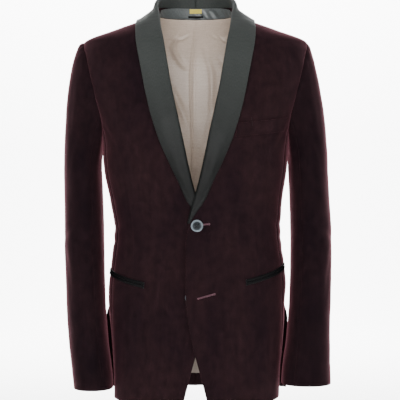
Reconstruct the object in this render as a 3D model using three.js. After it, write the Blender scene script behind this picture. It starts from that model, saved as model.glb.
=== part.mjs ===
// A velvet tuxedo jacket, filled out and hollow, buttoned at the waist.
//
// Millimetres, +Z up, the front towards -Y and the wearer's left towards +X. The origin is
// between the shoulders, at the height where the collar meets the shoulder line.
//
// The body is one form with a turn and a height: turn 0 is the centre front, 90 the side
// towards +X and 180 the centre back. Each velvet panel is cut from that form.

import * as THREE from 'three';
import * as BufferGeometryUtils from 'three/addons/utils/BufferGeometryUtils.js';

// Thickness of the cloths, and the gap kept between two pieces.
const VELVET = 2.0;
const SATIN = 1.4;
const SKIN = 0.8;
const GAP = 0.3;
const LAYER_GAP = 1.0;

// The body's form: half width, depth to the front, depth to the back and squareness of the
// section at each height, and how far the middle is shifted to +X as it hangs. The rows above
// z = 14 are the column that the collar stands on.
const BODY = [
  { z: 66, half: 73, front: 36, back: 76, square: 2.1, shift: 0 },
  { z: 36, half: 74, front: 38, back: 75, square: 2.1, shift: 0 },
  { z: 16, half: 78, front: 46, back: 80, square: 2.15, shift: 0 },
  { z: 0, half: 99, front: 57, back: 88, square: 2.2, shift: 0 },
  { z: -20, half: 151, front: 72, back: 98, square: 2.25, shift: 0 },
  { z: -46, half: 212, front: 87, back: 108, square: 2.35, shift: 0 },
  { z: -64, half: 216, front: 94, back: 113, square: 2.5, shift: 0 },
  { z: -90, half: 216, front: 101, back: 117, square: 2.6, shift: 0 },
  { z: -114, half: 213, front: 106, back: 119, square: 2.6, shift: 0 },
  { z: -150, half: 204, front: 112, back: 121, square: 2.6, shift: 0 },
  { z: -190, half: 189, front: 117, back: 121, square: 2.55, shift: 0 },
  { z: -227, half: 178, front: 119, back: 119, square: 2.5, shift: 0 },
  { z: -285, half: 173, front: 116, back: 111, square: 2.45, shift: -0.4 },
  { z: -342, half: 163, front: 110, back: 102, square: 2.4, shift: 1.2 },
  { z: -399, half: 157, front: 105, back: 96, square: 2.35, shift: 3.6 },
  { z: -456, half: 163, front: 107, back: 101, square: 2.35, shift: 4.0 },
  { z: -513, half: 168.5, front: 112, back: 109, square: 2.4, shift: 3.2 },
  { z: -600, half: 169.5, front: 117, back: 115, square: 2.4, shift: 1.5 },
  { z: -730, half: 168, front: 120, back: 118, square: 2.4, shift: 0 },
];

// The armhole: an oval between two heights, reaching forwards and backwards from the side.
const ARMHOLE = { top: -46, bottom: -227, frontReach: 27, backReach: 25, fullness: 0.8 };

// Turns of the two seams at each side, and of the opening below them in the back one.
const FRONT_SEAM_TURN = 70;
const BACK_SEAM_TURN = 114;
const VENT = {
  top: -468, full: -500, wide: -610, flapTurn: 106, underTurn: 118, flare: 6.5, sink: 2.4,
  slack: 0.5, approach: 40, sinkFrom: 0.55, sinkTo: 0.95, flapShare: 0.3,
};

// The hem's height round the body, with the rounded corner below the front edge.
const HEM = [
  { turn: 0, z: -690 },
  { turn: 4.5, z: -704 },
  { turn: 8, z: -716 },
  { turn: 13, z: -722 },
  { turn: 24, z: -723 },
  { turn: 46, z: -713 },
  { turn: 64, z: -702 },
  { turn: 90, z: -698 },
  { turn: 114, z: -701 },
  { turn: 150, z: -708 },
  { turn: 180, z: -710 },
];

// The fronts' layers where they lap, raised and lowered from the form near the centre.
const LAP = { rise: 3.9, drop: 3.5, inner: 24, outer: 92, start: -150, full: -300 };

// The lapel: where it folds and where its outer edge lies, as distances from the centre.
const LAPEL = [
  { rollZ: -20, rollX: 65.5, edgeZ: -27, edgeX: 110.5, puff: 3.2 },
  { rollZ: -45, rollX: 60.5, edgeZ: -56, edgeX: 108, puff: 2.6 },
  { rollZ: -88, rollX: 53, edgeZ: -102, edgeX: 99, puff: 2.2 },
  { rollZ: -132, rollX: 45.5, edgeZ: -148, edgeX: 90, puff: 2.2 },
  { rollZ: -175, rollX: 36.5, edgeZ: -190, edgeX: 79.5, puff: 2.2 },
  { rollZ: -220, rollX: 26.5, edgeZ: -233, edgeX: 65.5, puff: 2.2 },
  { rollZ: -262, rollX: 17.8, edgeZ: -273, edgeX: 48.5, puff: 2.0 },
  { rollZ: -304, rollX: 8.3, edgeZ: -311, edgeX: 30.5, puff: 1.2 },
  { rollZ: -335, rollX: 0, edgeZ: -341, edgeX: 17.5, puff: 0.3 },
  { rollZ: -360, rollX: -7, edgeZ: -363, edgeX: 2.5, puff: 0.1 },
  { rollZ: -384, rollX: -13.4, edgeZ: -385, edgeX: -10.2, puff: 0 },
];

// The collar behind the lapel, from the centre back to the neck's side, by turns of the form.
// inner is how far the stand reaches from the fold, as a share of the way to the outer edge.
const COLLAR = [
  { rollTurn: 180, rollZ: 62, edgeTurn: 180, edgeZ: 12, inner: 0.56, puff: 1.5 },
  { rollTurn: 158, rollZ: 61, edgeTurn: 157, edgeZ: 11, inner: 0.56, puff: 1.5 },
  { rollTurn: 136, rollZ: 57, edgeTurn: 137, edgeZ: 8, inner: 0.52, puff: 2.0 },
  { rollTurn: 114, rollZ: 48, edgeTurn: 119, edgeZ: 3, inner: 0.42, puff: 2.2 },
  { rollTurn: 95, rollZ: 36, edgeTurn: 104, edgeZ: -1.5, inner: 0.32, puff: 2.0 },
  { rollTurn: 76, rollZ: 24, edgeTurn: 86, edgeZ: -4, inner: 0.27, puff: 2.2 },
  { rollTurn: 52, rollZ: 8, edgeTurn: 62, edgeZ: -10, inner: 0.24, puff: 3.0 },
];
const LAPEL_INNER_SHARE = 0.2;
const LAPEL_LIFT = 1.6;
const LAPEL_LIFT_FULL_Z = -300;
const LAPEL_LIFT_END = 0.1;
const UNDER_LAPEL_ROWS = 10;
// The fold's own width, how far it spreads and bulges, where the upper side's points lie, and how
// much of the lift is gone at the outer edge.
const BEND = { width: 2.2, widest: 0.2, spread: 2.2, bulge: 1.2, under: 0.9, over: 0.95 };
const PUFF_SHARES = [0.14, 0.36, 0.66];
const EDGE_DROP = 0.35;

// The front edge below the lapel, as a distance from the centre, past it where negative.
const FRONT_EDGE = [
  { z: -384, x: -11.4 },
  { z: -425, x: -17.4 },
  { z: -517, x: -17.4 },
  { z: -557, x: -14.9 },
  { z: -592, x: -9.6 },
  { z: -631, x: -1.7 },
  { z: -664, x: 7.9 },
  { z: -704, x: 20.6 },
];
const FOLD_INSET = 3.6;
const FOLD_INSET_FULL_Z = -375;

// The sleeves' sections below the armhole, for the wearer's right and left arms: distances
// from the centre to the outer and inner sides, the middle's place in depth and half the depth.
const SLEEVE_R = [
  { z: -285, outer: 249.1, inner: 178.2, middle: 0, deep: 64 },
  { z: -342, outer: 248.6, inner: 175.4, middle: -1, deep: 62 },
  { z: -418, outer: 247.4, inner: 173.2, middle: -6, deep: 59 },
  { z: -513, outer: 243.8, inner: 172.5, middle: -16, deep: 56 },
  { z: -589, outer: 238.4, inner: 171.2, middle: -27, deep: 54 },
  { z: -650, outer: 232.2, inner: 169.6, middle: -36, deep: 53 },
  { z: -697, outer: 225.6, inner: 168.2, middle: -42, deep: 52 },
];
const SLEEVE_L = [
  { z: -285, outer: 250.6, inner: 175.8, middle: 0, deep: 64 },
  { z: -342, outer: 253.8, inner: 178.4, middle: -1, deep: 62 },
  { z: -418, outer: 257.2, inner: 179.8, middle: -6, deep: 59 },
  { z: -513, outer: 254.8, inner: 176.0, middle: -16, deep: 56 },
  { z: -589, outer: 251.6, inner: 173.6, middle: -27, deep: 54 },
  { z: -650, outer: 251.8, inner: 172.6, middle: -36, deep: 53 },
  { z: -688, outer: 252.0, inner: 172.4, middle: -41, deep: 52 },
];
const SLEEVE_SQUARE = 2.25;
const SLEEVE_WALL = 1.8;
// The head's share of the sleeve's rows, its distance from the armhole, how far it runs out
// and rises before it turns down, and how gently it comes into the arm, above and below.
const HEAD = {
  part: 0.42, clear: 1.6, reachR: 28, reachL: 11, rise: 3.5,
  underReach: 1.2, underDrop: 16, settle: 112, underSettle: 18,
};
// Rows of each panel's grid along the shoulder, the armhole and the seam below it.
const SHOULDER_ROWS = 6;
const ARMHOLE_ROWS = 8;
const SEAM_ROWS = 13;
const PANEL_ROWS = SHOULDER_ROWS + ARMHOLE_ROWS + SEAM_ROWS;
// Columns of each piece's grid, and rows of those that don't share the panels' rows.
const COLUMNS = {
  front: 12, side: 7, back: 10, topSleeve: 14, underSleeve: 6, lining: 8,
  strip: 14, band: 14, loop: 8, label: 4,
};
const ROWS = { sleeve: 18, lining: 18, band: 2, collarStep: 2 };
const SHOULDER_SHARE = SHOULDER_ROWS / PANEL_ROWS;
const ARMHOLE_SHARE = (SHOULDER_ROWS + ARMHOLE_ROWS) / PANEL_ROWS;

// Heights down the inner edge of a front and down the centre back, by the share of the rows.
const FRONT_TOP = 22;
const FRONT_INNER = [
  { share: 0, z: FRONT_TOP },
  { share: SHOULDER_SHARE, z: -60 },
  { share: ARMHOLE_SHARE, z: -258 },
  { share: 1, z: FRONT_EDGE[7].z },
];
const BACK_SIDE_TOP = 28;
const BACK_CENTRE = [
  { share: 0, z: 40 },
  { share: SHOULDER_SHARE, z: -58 },
  { share: ARMHOLE_SHARE, z: -200 },
  { share: 1, z: -710 },
];
const CORNER_SHARE = 0.75;
const FRONT_COLUMN_CROWDING = 1.2;

// Angles of the two sleeve seams, from the outer side through the front.
const SLEEVE_FRONT_SEAM = 122;
const SLEEVE_BACK_SEAM = 244;

// Soft folds in the body: place, half size along and across, lean from level and depth.
const BODY_FOLDS = [
  { turn: 22, z: -420, along: 62, across: 10, lean: -24, rise: -2.2 },
  { turn: -24, z: -424, along: 58, across: 10, lean: 26, rise: -2.0 },
  { turn: 36, z: -352, along: 50, across: 9, lean: 20, rise: -1.6 },
  { turn: -38, z: -348, along: 46, across: 9, lean: -18, rise: -1.7 },
  { turn: 150, z: -392, along: 60, across: 11, lean: 8, rise: -2.4 },
  { turn: -152, z: -398, along: 54, across: 10, lean: -10, rise: -2.2 },
  { turn: 148, z: -438, along: 48, across: 10, lean: -12, rise: -1.8 },
  { turn: 138, z: -210, along: 60, across: 12, lean: 66, rise: -2.2 },
  { turn: -140, z: -206, along: 56, across: 12, lean: -64, rise: -2.3 },
];

// Soft folds in the sleeves: angle round the sleeve, height, half sizes, lean and depth.
const SLEEVE_FOLDS = [
  { angle: 78, z: -212, along: 52, across: 9, lean: 74, rise: -2.4 },
  { angle: 62, z: -392, along: 46, across: 10, lean: 24, rise: -2.2 },
  { angle: 96, z: -436, along: 44, across: 9, lean: -18, rise: -2.4 },
  { angle: 286, z: -410, along: 40, across: 10, lean: -22, rise: -2.0 },
  { angle: 252, z: -462, along: 42, across: 10, lean: 16, rise: -2.2 },
  { angle: 276, z: -220, along: 50, across: 10, lean: -70, rise: -2.2 },
];

// What lies on the panels: the turns and heights of its ends, its own height and thickness.
const WELT = { turn0: 19, z0: -202.5, turn1: 60, z1: -190, tall: 25, thick: 1.2 };
const JET = { turn0: 28.5, z0: -487, turn1: 79, z1: -463, tall: 5.2, thick: 1.1, seam: 0.5 };
const STRIP_SEAT = 0.7;
const BUTTON = { bevel: 0.9, hole: 1.15, pitch: 3.6 };
const BUTTON_SIDES = 24;
const BUTTON_HOLE_SIDES = 6;
const BUTTON_UPPER = { x: 2.9, z: -388.5, across: 22, thick: 3.2, seat: 1.4 };
const BUTTON_LOWER = { x: -8.6, z: -519, across: 20, thick: 1.6, seat: 0.6 };

// What shows inside the back: heights of the neck band, the lining, the loop and the label.
const BAND = { top: 33.2, bottom: 13.6, reach: 68, endDrop: 9 };
const LINING = {
  top: 13.2, bottom: -686, depth: 4.8, pleat: 1.6, pleatTurn: 5,
  rowCrowding: 1.35, seamTurn: 2.5, ventTurn: 1.5, ventShort: 4,
};
const LOOP = { x: 15.5, z: 18.5, tall: 4, bow: 2.2, thick: 1.0 };
const LABEL = { x: 12.5, z: 28.5, tall: 7.5, bow: 0, thick: 0.6 };

// Colours of the finishes, with their roughness.
const FINISH = {
  velvet: { color: 0x2b1a1f, roughness: 0.95 },
  satin: { color: 0x4a4e4d, roughness: 0.4 },
  trim: { color: 0x0b0b0d, roughness: 0.35 },
  lining: { color: 0xb0a498, roughness: 0.45 },
  label: { color: 0x8f7f35, roughness: 0.8 },
  button: { color: 0x2a2f35, roughness: 0.3 },
};

const DEGREE = Math.PI / 180;

function clamp01(t) {
  return Math.min(1, Math.max(0, t));
}

function smooth(from, to, value) {
  const t = clamp01((value - from) / (to - from));
  return t * t * (3 - 2 * t);
}

function mix(a, b, t) {
  return a + (b - a) * t;
}

// Signed power, for a squared-off oval.
function swell(value, power) {
  return Math.sign(value) * Math.abs(value) ** power;
}

// A curve through a table's rows that never swings past them.
function curve(table, by, column) {
  const rows = [...table].sort((a, b) => a[by] - b[by]);
  const at = rows.map((row) => row[by]);
  const value = rows.map((row) => row[column]);
  const rise = at.slice(1).map((x, i) => (value[i + 1] - value[i]) / (x - at[i]));
  const slope = value.map((_, i) => {
    const before = rise[Math.max(0, i - 1)];
    const after = rise[Math.min(rise.length - 1, i)];
    return before * after <= 0 ? 0 : (2 * before * after) / (before + after);
  });
  return (x) => {
    if (x <= at[0]) return value[0];
    if (x >= at[at.length - 1]) return value[value.length - 1];
    let i = 0;
    while (x > at[i + 1]) i += 1;
    const span = at[i + 1] - at[i];
    const t = (x - at[i]) / span;
    const t2 = t * t;
    const t3 = t2 * t;
    return value[i] * (2 * t3 - 3 * t2 + 1) + slope[i] * span * (t3 - 2 * t2 + t)
      + value[i + 1] * (3 * t2 - 2 * t3) + slope[i + 1] * span * (t3 - t2);
  };
}

const bodyHalf = curve(BODY, 'z', 'half');
const bodyFront = curve(BODY, 'z', 'front');
const bodyBack = curve(BODY, 'z', 'back');
const bodySquare = curve(BODY, 'z', 'square');
const bodyShift = curve(BODY, 'z', 'shift');
const hemHeight = curve(HEM, 'turn', 'z');
const frontEdgeX = curve(FRONT_EDGE, 'z', 'x');
const rollX = curve(LAPEL, 'rollZ', 'rollX');
const neckRollTurn = curve(COLLAR, 'rollZ', 'rollTurn');

// A point of the body's form.
function formPoint(turn, z) {
  const power = 2 / bodySquare(z);
  const side = Math.sin(turn * DEGREE);
  const ahead = Math.cos(turn * DEGREE);
  const depth = ahead >= 0 ? bodyFront(z) : bodyBack(z);
  const x = bodyShift(z) + bodyHalf(z) * swell(side, power);
  return new THREE.Vector3(x, -depth * swell(ahead, power), z);
}

function formNormal(turn, z) {
  const across = formPoint(turn + 0.6, z).sub(formPoint(turn - 0.6, z));
  const up = formPoint(turn, z + 1.2).sub(formPoint(turn, z - 1.2));
  return across.cross(up).normalize();
}

// The turn of a point on the front at a distance from the centre. A side of -1 is the
// wearer's right, where turns and distances are counted the other way.
function turnAtX(x, z, side) {
  const fromMiddle = x - side * bodyShift(z);
  const share = Math.min(1, Math.abs(fromMiddle) / bodyHalf(z));
  return (Math.sign(fromMiddle) * Math.asin(share ** (bodySquare(z) / 2))) / DEGREE;
}

// The turn that lies some millimetres further round.
function shiftTurn(turn, z, distance) {
  const perDegree = formPoint(turn + 0.3, z).distanceTo(formPoint(turn - 0.3, z)) / 0.6;
  return turn + distance / perDegree;
}

// The height that a fold adds at a place that is across and up from the fold's middle.
function foldRise(fold, across, up) {
  const lean = fold.lean * DEGREE;
  const along = across * Math.cos(lean) + up * Math.sin(lean);
  const off = up * Math.cos(lean) - across * Math.sin(lean);
  return fold.rise * Math.exp(-((along / fold.along) ** 2) - (off / fold.across) ** 2);
}

function bodyRelief(turn, z) {
  const wrapped = turn > 180 ? turn - 360 : turn;
  return BODY_FOLDS.reduce((sum, fold) => {
    const radius = (bodyHalf(fold.z) + bodyFront(fold.z)) / 2;
    return sum + foldRise(fold, (wrapped - fold.turn) * DEGREE * radius, z - fold.z);
  }, 0);
}

// A point of the worn cloth, some distance out from the form.
function bodyPoint(turn, z, out) {
  return formPoint(turn, z).addScaledVector(formNormal(turn, z), out + bodyRelief(turn, z));
}

// How far a front is raised, or lowered, where the two lap. side is 1 for the upper one.
function lapOffset(side, turn, z) {
  const x = Math.abs(formPoint(turn, z).x);
  const near = 1 - smooth(LAP.inner, LAP.outer, x);
  const low = smooth(LAP.start, LAP.full, z);
  return (side > 0 ? LAP.rise : -LAP.drop) * near * low;
}

// A closed wall between two grids of points, the outer one first.
function wallGeometry(outer, inner) {
  const rows = outer.length;
  const columns = outer[0].length;
  const points = [...outer.flat(), ...inner.flat()];
  const at = (layer, row, column) => layer * rows * columns + row * columns + column;
  const faces = [];
  const quad = (a, b, c, d) => faces.push(a, b, c, a, c, d);
  for (let j = 0; j < rows - 1; j += 1) {
    for (let i = 0; i < columns - 1; i += 1) {
      quad(at(0, j, i), at(0, j + 1, i), at(0, j + 1, i + 1), at(0, j, i + 1));
      quad(at(1, j, i), at(1, j, i + 1), at(1, j + 1, i + 1), at(1, j + 1, i));
    }
    const last = columns - 1;
    quad(at(0, j, 0), at(1, j, 0), at(1, j + 1, 0), at(0, j + 1, 0));
    quad(at(0, j, last), at(0, j + 1, last), at(1, j + 1, last), at(1, j, last));
  }
  for (let i = 0; i < columns - 1; i += 1) {
    const last = rows - 1;
    quad(at(0, 0, i), at(0, 0, i + 1), at(1, 0, i + 1), at(1, 0, i));
    quad(at(0, last, i), at(1, last, i), at(1, last, i + 1), at(0, last, i + 1));
  }
  return solidGeometry(points, faces);
}

// A geometry from points and faces, turned right side out.
function solidGeometry(points, faces) {
  let volume = 0;
  for (let f = 0; f < faces.length; f += 3) {
    const [a, b, c] = [points[faces[f]], points[faces[f + 1]], points[faces[f + 2]]];
    volume += a.dot(new THREE.Vector3().crossVectors(b, c));
  }
  if (volume < 0) faces.reverse();
  const geometry = new THREE.BufferGeometry().setFromPoints(points);
  geometry.setIndex(faces);
  return geometry;
}

// A wall over a grid of shares, each of which gives a turn, a height and a lift.
function panelGeometry(columns, rows, place, thick) {
  const layer = (depth) => Array.from({ length: rows + 1 }, (_, j) =>
    Array.from({ length: columns + 1 }, (__, i) => {
      const { turn, z, out } = place(i / columns, j / rows);
      return bodyPoint(turn, z, out - depth);
    }));
  return wallGeometry(layer(0), layer(thick));
}

// The angle round the armhole, from its top, at a height.
function armholeAngle(z) {
  const share = clamp01((ARMHOLE.top - z) / (ARMHOLE.top - ARMHOLE.bottom));
  return Math.acos(1 - 2 * share);
}

function armholeHeight(angle) {
  return ARMHOLE.top - ((ARMHOLE.top - ARMHOLE.bottom) * (1 - Math.cos(angle))) / 2;
}

// The turn of the armhole's edge, ahead of the side or behind it, at an angle from its top.
function armholeTurn(angle, ahead) {
  const reach = ahead ? -ARMHOLE.frontReach : ARMHOLE.backReach;
  return 90 + reach * Math.max(0, Math.sin(angle)) ** ARMHOLE.fullness;
}

// The angle at which the lower half of the armhole passes a turn.
function armholeAngleAt(turn) {
  const reach = turn < 90 ? ARMHOLE.frontReach : ARMHOLE.backReach;
  const share = clamp01(Math.abs(turn - 90) / reach);
  return Math.PI - Math.asin(share ** (1 / ARMHOLE.fullness));
}

// A panel's side: shoulder seam, armhole, then the seam below it, as a height for each share.
function sideHeight(share, top, seamTurn) {
  const lastAngle = armholeAngleAt(seamTurn);
  const seamTop = armholeHeight(lastAngle);
  if (share < SHOULDER_SHARE) return mix(top, ARMHOLE.top, share / SHOULDER_SHARE);
  if (share < ARMHOLE_SHARE) {
    const round = (share - SHOULDER_SHARE) / (ARMHOLE_SHARE - SHOULDER_SHARE);
    return armholeHeight(lastAngle * round);
  }
  return mix(seamTop, hemHeight(seamTurn), (share - ARMHOLE_SHARE) / (1 - ARMHOLE_SHARE));
}

// The turn of that side at a height.
function sideTurn(z, seamTurn) {
  const ahead = seamTurn < 90;
  const inset = ahead ? -GAP / 2 : GAP / 2;
  if (z >= ARMHOLE.top) return shiftTurn(90, z, inset);
  const angle = armholeAngle(z);
  if (angle < armholeAngleAt(seamTurn)) return armholeTurn(angle, ahead);
  return shiftTurn(seamTurn, z, inset);
}

// The front's inner edge, by height: under the fold of the lapel, then the cut edge.
function frontEdgeTurn(z, side) {
  if (z > LAPEL[0].rollZ) return shiftTurn(neckRollTurn(z), z, FOLD_INSET);
  const inset = FOLD_INSET * smooth(FRONT_EDGE[0].z, FOLD_INSET_FULL_Z, z);
  const x = z > FRONT_EDGE[0].z ? rollX(z) + inset : frontEdgeX(z);
  return turnAtX(x, z, side);
}

function frontGeometry(side) {
  const innerHeight = curve(FRONT_INNER, 'share', 'z');
  const place = (u, v) => {
    const innerZ = innerHeight(v);
    const outerZ = sideHeight(v, FRONT_TOP, FRONT_SEAM_TURN);
    const share = u ** FRONT_COLUMN_CROWDING;
    const turn = mix(frontEdgeTurn(innerZ, side), sideTurn(outerZ, FRONT_SEAM_TURN), share);
    const straight = mix(innerZ, outerZ, share);
    const drop = hemHeight(turn) - mix(FRONT_EDGE[7].z, hemHeight(FRONT_SEAM_TURN), share);
    const z = straight + drop * smooth(CORNER_SHARE, 1, v);
    return { turn: turn * side, z, out: lapOffset(side, turn, z) };
  };
  return panelGeometry(COLUMNS.front, PANEL_ROWS, place, VELVET);
}

function sideGeometry(side) {
  const place = (u, v) => {
    const lower = smooth(VENT.full, VENT.wide, mix(ARMHOLE.bottom, hemHeight(90), v));
    const rear = mix(BACK_SEAM_TURN, VENT.underTurn, lower);
    const seam = mix(FRONT_SEAM_TURN, rear, u);
    const top = armholeHeight(armholeAngleAt(mix(FRONT_SEAM_TURN, BACK_SEAM_TURN, u)));
    const z = mix(top, hemHeight(seam), v);
    const slack = GAP / 2 + VENT.slack * smooth(VENT.top + VENT.approach, VENT.top, z);
    const turn = mix(shiftTurn(FRONT_SEAM_TURN, z, GAP / 2), shiftTurn(rear, z, -slack), u);
    const sink = VENT.sink * smooth(VENT.top, VENT.full, z) * smooth(VENT.sinkFrom, VENT.sinkTo, u);
    return { turn: turn * side, z, out: -sink };
  };
  return panelGeometry(COLUMNS.side, SEAM_ROWS, place, VELVET);
}

function backGeometry(side) {
  const centreHeight = curve(BACK_CENTRE, 'share', 'z');
  const place = (u, v) => {
    const outerZ = sideHeight(v, BACK_SIDE_TOP, BACK_SEAM_TURN);
    const z = mix(outerZ, centreHeight(v), u);
    const flap = smooth(VENT.full, VENT.wide, outerZ);
    const seamTurn = sideTurn(outerZ, BACK_SEAM_TURN);
    const outerTurn = mix(seamTurn, VENT.flapTurn, flap);
    const turn = mix(outerTurn, shiftTurn(180, z, -GAP / 2), u);
    const open = smooth(VENT.top, VENT.full, z) * (1 - smooth(0, VENT.flapShare, u));
    return { turn: turn * side, z, out: open * (1 + VENT.flare * flap) };
  };
  return panelGeometry(COLUMNS.back, PANEL_ROWS, place, VELVET);
}

// The sleeve.

function sleeveShape(table) {
  const column = (name) => curve(table, 'z', name);
  return {
    top: table[0].z,
    cuff: table[table.length - 1].z,
    outer: column('outer'),
    inner: column('inner'),
    middle: column('middle'),
    deep: column('deep'),
  };
}

// A point of the sleeve's section below the armhole.
function sleeveSection(shape, side, angle, z) {
  const power = 2 / SLEEVE_SQUARE;
  const half = (shape.outer(z) - shape.inner(z)) / 2;
  const x = (shape.outer(z) + shape.inner(z)) / 2 + half * swell(Math.cos(angle), power);
  const y = shape.middle(z) - shape.deep(z) * swell(Math.sin(angle), power);
  return new THREE.Vector3(x * side, y, z);
}

// A point of the sleeve: over the head while share is under its part, then down the arm.
function sleevePoint(shape, side, degrees, share) {
  const angle = ((degrees % 360) + 360) % 360 * DEGREE;
  if (share >= HEAD.part) {
    const z = mix(shape.top, shape.cuff, (share - HEAD.part) / (1 - HEAD.part));
    return sleeveSection(shape, side, angle, z);
  }
  const ahead = angle < Math.PI;
  const fromTop = ahead ? angle : 2 * Math.PI - angle;
  const outward = (1 + Math.cos(fromTop)) / 2;
  const edge = bodyPoint(armholeTurn(fromTop, ahead) * side, armholeHeight(fromTop), 0);
  const start = edge.clone();
  start.x += side * HEAD.clear;
  start.z -= HEAD.clear * (1 - outward);
  const reach = mix(HEAD.underReach, side > 0 ? HEAD.reachL : HEAD.reachR, outward);
  const first = start.clone();
  first.x += side * reach;
  first.z += mix(-HEAD.underDrop, HEAD.rise, outward);
  const end = sleeveSection(shape, side, angle, shape.top);
  const third = end.clone();
  third.z += mix(HEAD.underSettle, HEAD.settle, outward);
  return new THREE.CubicBezierCurve3(start, first, third, end).getPoint(share / HEAD.part);
}

function sleeveRelief(degrees, z) {
  return SLEEVE_FOLDS.reduce((sum, fold) => {
    const round = ((degrees - fold.angle + 540) % 360) - 180;
    return sum + foldRise(fold, round * 0.95, z - fold.z);
  }, 0);
}

function sleeveGeometry(side, from, to, columns) {
  const shape = sleeveShape(side > 0 ? SLEEVE_L : SLEEVE_R);
  const inset = GAP / 2;
  const layer = (depth) => Array.from({ length: ROWS.sleeve + 1 }, (_, j) =>
    Array.from({ length: columns + 1 }, (__, i) => {
      const share = j / ROWS.sleeve;
      const degrees = mix(from + inset, to - inset, i / columns);
      const point = sleevePoint(shape, side, degrees, share);
      const round = sleevePoint(shape, side, degrees + 1.5, share)
        .sub(sleevePoint(shape, side, degrees - 1.5, share));
      const along = sleevePoint(shape, side, degrees, Math.min(1, share + 0.004))
        .sub(sleevePoint(shape, side, degrees, Math.max(0, share - 0.004)));
      const normal = round.cross(along).normalize().multiplyScalar(side);
      const relief = sleeveRelief(degrees, point.z) * smooth(0.02, 0.16, share);
      return point.addScaledVector(normal, relief - depth);
    }));
  return wallGeometry(layer(0), layer(SLEEVE_WALL));
}

// The collar and lapel, one hooked section after another from the centre back to the tip.

function collarStations(side) {
  const neck = COLLAR.map((row) => ({ ...row, lift: LAPEL_LIFT }));
  const front = LAPEL.map((row) => ({
    rollTurn: turnAtX(row.rollX, row.rollZ, side),
    rollZ: row.rollZ,
    edgeTurn: turnAtX(row.edgeX, row.edgeZ, side),
    edgeZ: row.edgeZ,
    inner: LAPEL_INNER_SHARE,
    puff: row.puff,
    lift: mix(LAPEL_LIFT, LAPEL_LIFT_END, smooth(LAPEL_LIFT_FULL_Z, -335, row.rollZ)),
  }));
  return [...neck, ...front];
}

// A section's middle line: up the stand inside, round the fold, then out over the form.
function collarSection(row, side) {
  const at = (share, out) => {
    const turn = mix(row.rollTurn, row.edgeTurn, share);
    const z = mix(row.rollZ, row.edgeZ, share);
    return bodyPoint(turn * side, z, out + lapOffset(side, turn, z));
  };
  const inside = -(VELVET + LAYER_GAP + SATIN / 2);
  const outside = LAYER_GAP + SATIN / 2 + row.lift;
  const roll = at(0, (inside + outside) / 2);
  const width = roll.distanceTo(at(1, outside));
  const near = Math.min(BEND.widest, BEND.width / width);
  const reach = Math.max(row.inner, near * BEND.spread);
  const rise = (share) => outside + row.puff * Math.sin(Math.PI * clamp01(share)) ** 1.2;
  const ahead = at(near, inside).sub(at(0, inside)).normalize();
  const fold = roll.clone().addScaledVector(ahead, -BEND.bulge);
  return [
    at(reach, inside),
    at(reach / 2, inside),
    at(near / 2, inside * BEND.under),
    fold,
    at(near / 2, outside * BEND.over),
    ...PUFF_SHARES.map((share) => at(mix(near, 1, share), rise(share))),
    at(1, outside - row.lift * EDGE_DROP),
  ];
}

// The points between two sections, one more row in each space.
function loftRows(sections, steps) {
  const lines = sections[0].map((_, k) =>
    new THREE.CatmullRomCurve3(sections.map((section) => section[k]), false, 'centripetal'));
  const rows = [];
  const last = (sections.length - 1) * steps;
  for (let j = 0; j <= last; j += 1) {
    rows.push(lines.map((line) => line.getPoint(j / last)));
  }
  return rows;
}

// The direction out of a grid of points, at each of them.
function gridNormals(grid) {
  const last = grid.length - 1;
  const end = grid[0].length - 1;
  return grid.map((row, j) => row.map((_, i) => {
    const down = grid[Math.min(last, j + 1)][i].clone().sub(grid[Math.max(0, j - 1)][i]);
    const over = grid[j][Math.min(end, i + 1)].clone().sub(grid[j][Math.max(0, i - 1)]);
    return over.cross(down).normalize();
  }));
}

function collarGeometry(side) {
  const all = collarStations(side);
  const stations = side > 0 ? all : all.slice(0, COLLAR.length + UNDER_LAPEL_ROWS);
  const grid = loftRows(stations.map((row) => collarSection(row, side)), ROWS.collarStep);
  grid[0].forEach((point) => {
    point.x = side * (GAP / 2);
  });
  const normals = gridNormals(grid);
  const shift = (share) => grid.map((row, j) => row.map((point, i) =>
    point.clone().addScaledVector(normals[j][i], share * SATIN)));
  return wallGeometry(shift(0.5), shift(-0.5));
}

// Pieces that lie on the cloth.

// A strip on a front between two places, with its own height and thickness.
function stripGeometry(side, strip, drop) {
  const place = (u, v) => {
    const turn = mix(strip.turn0, strip.turn1, u);
    const z = mix(strip.z0, strip.z1, u) - drop - strip.tall * v;
    return { turn: turn * side, z, out: strip.thick + STRIP_SEAT + lapOffset(side, turn, z) };
  };
  return panelGeometry(COLUMNS.strip, 1, place, strip.thick);
}

function circlePoints(x, y, radius, sides) {
  return Array.from({ length: sides }, (_, k) => {
    const angle = (2 * Math.PI * k) / sides;
    return new THREE.Vector2(x + radius * Math.cos(angle), y + radius * Math.sin(angle));
  });
}

function buttonGeometry(across, thick) {
  const disc = new THREE.Shape(circlePoints(0, 0, across / 2 - BUTTON.bevel, BUTTON_SIDES));
  for (let k = 0; k < 4; k += 1) {
    const angle = (k * 90 + 45) * DEGREE;
    const reach = BUTTON.pitch / Math.SQRT2;
    const [x, y] = [reach * Math.cos(angle), reach * Math.sin(angle)];
    disc.holes.push(new THREE.Path(circlePoints(x, y, BUTTON.hole, BUTTON_HOLE_SIDES)));
  }
  const bevel = Math.min(BUTTON.bevel, thick / 3);
  const body = new THREE.ExtrudeGeometry(disc, {
    depth: thick - 2 * bevel,
    bevelThickness: bevel,
    bevelSize: bevel * 0.6,
    bevelSegments: 1,
  });
  body.translate(0, 0, bevel);
  body.deleteAttribute('normal');
  body.deleteAttribute('uv');
  return BufferGeometryUtils.mergeVertices(body, 1e-4);
}

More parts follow.
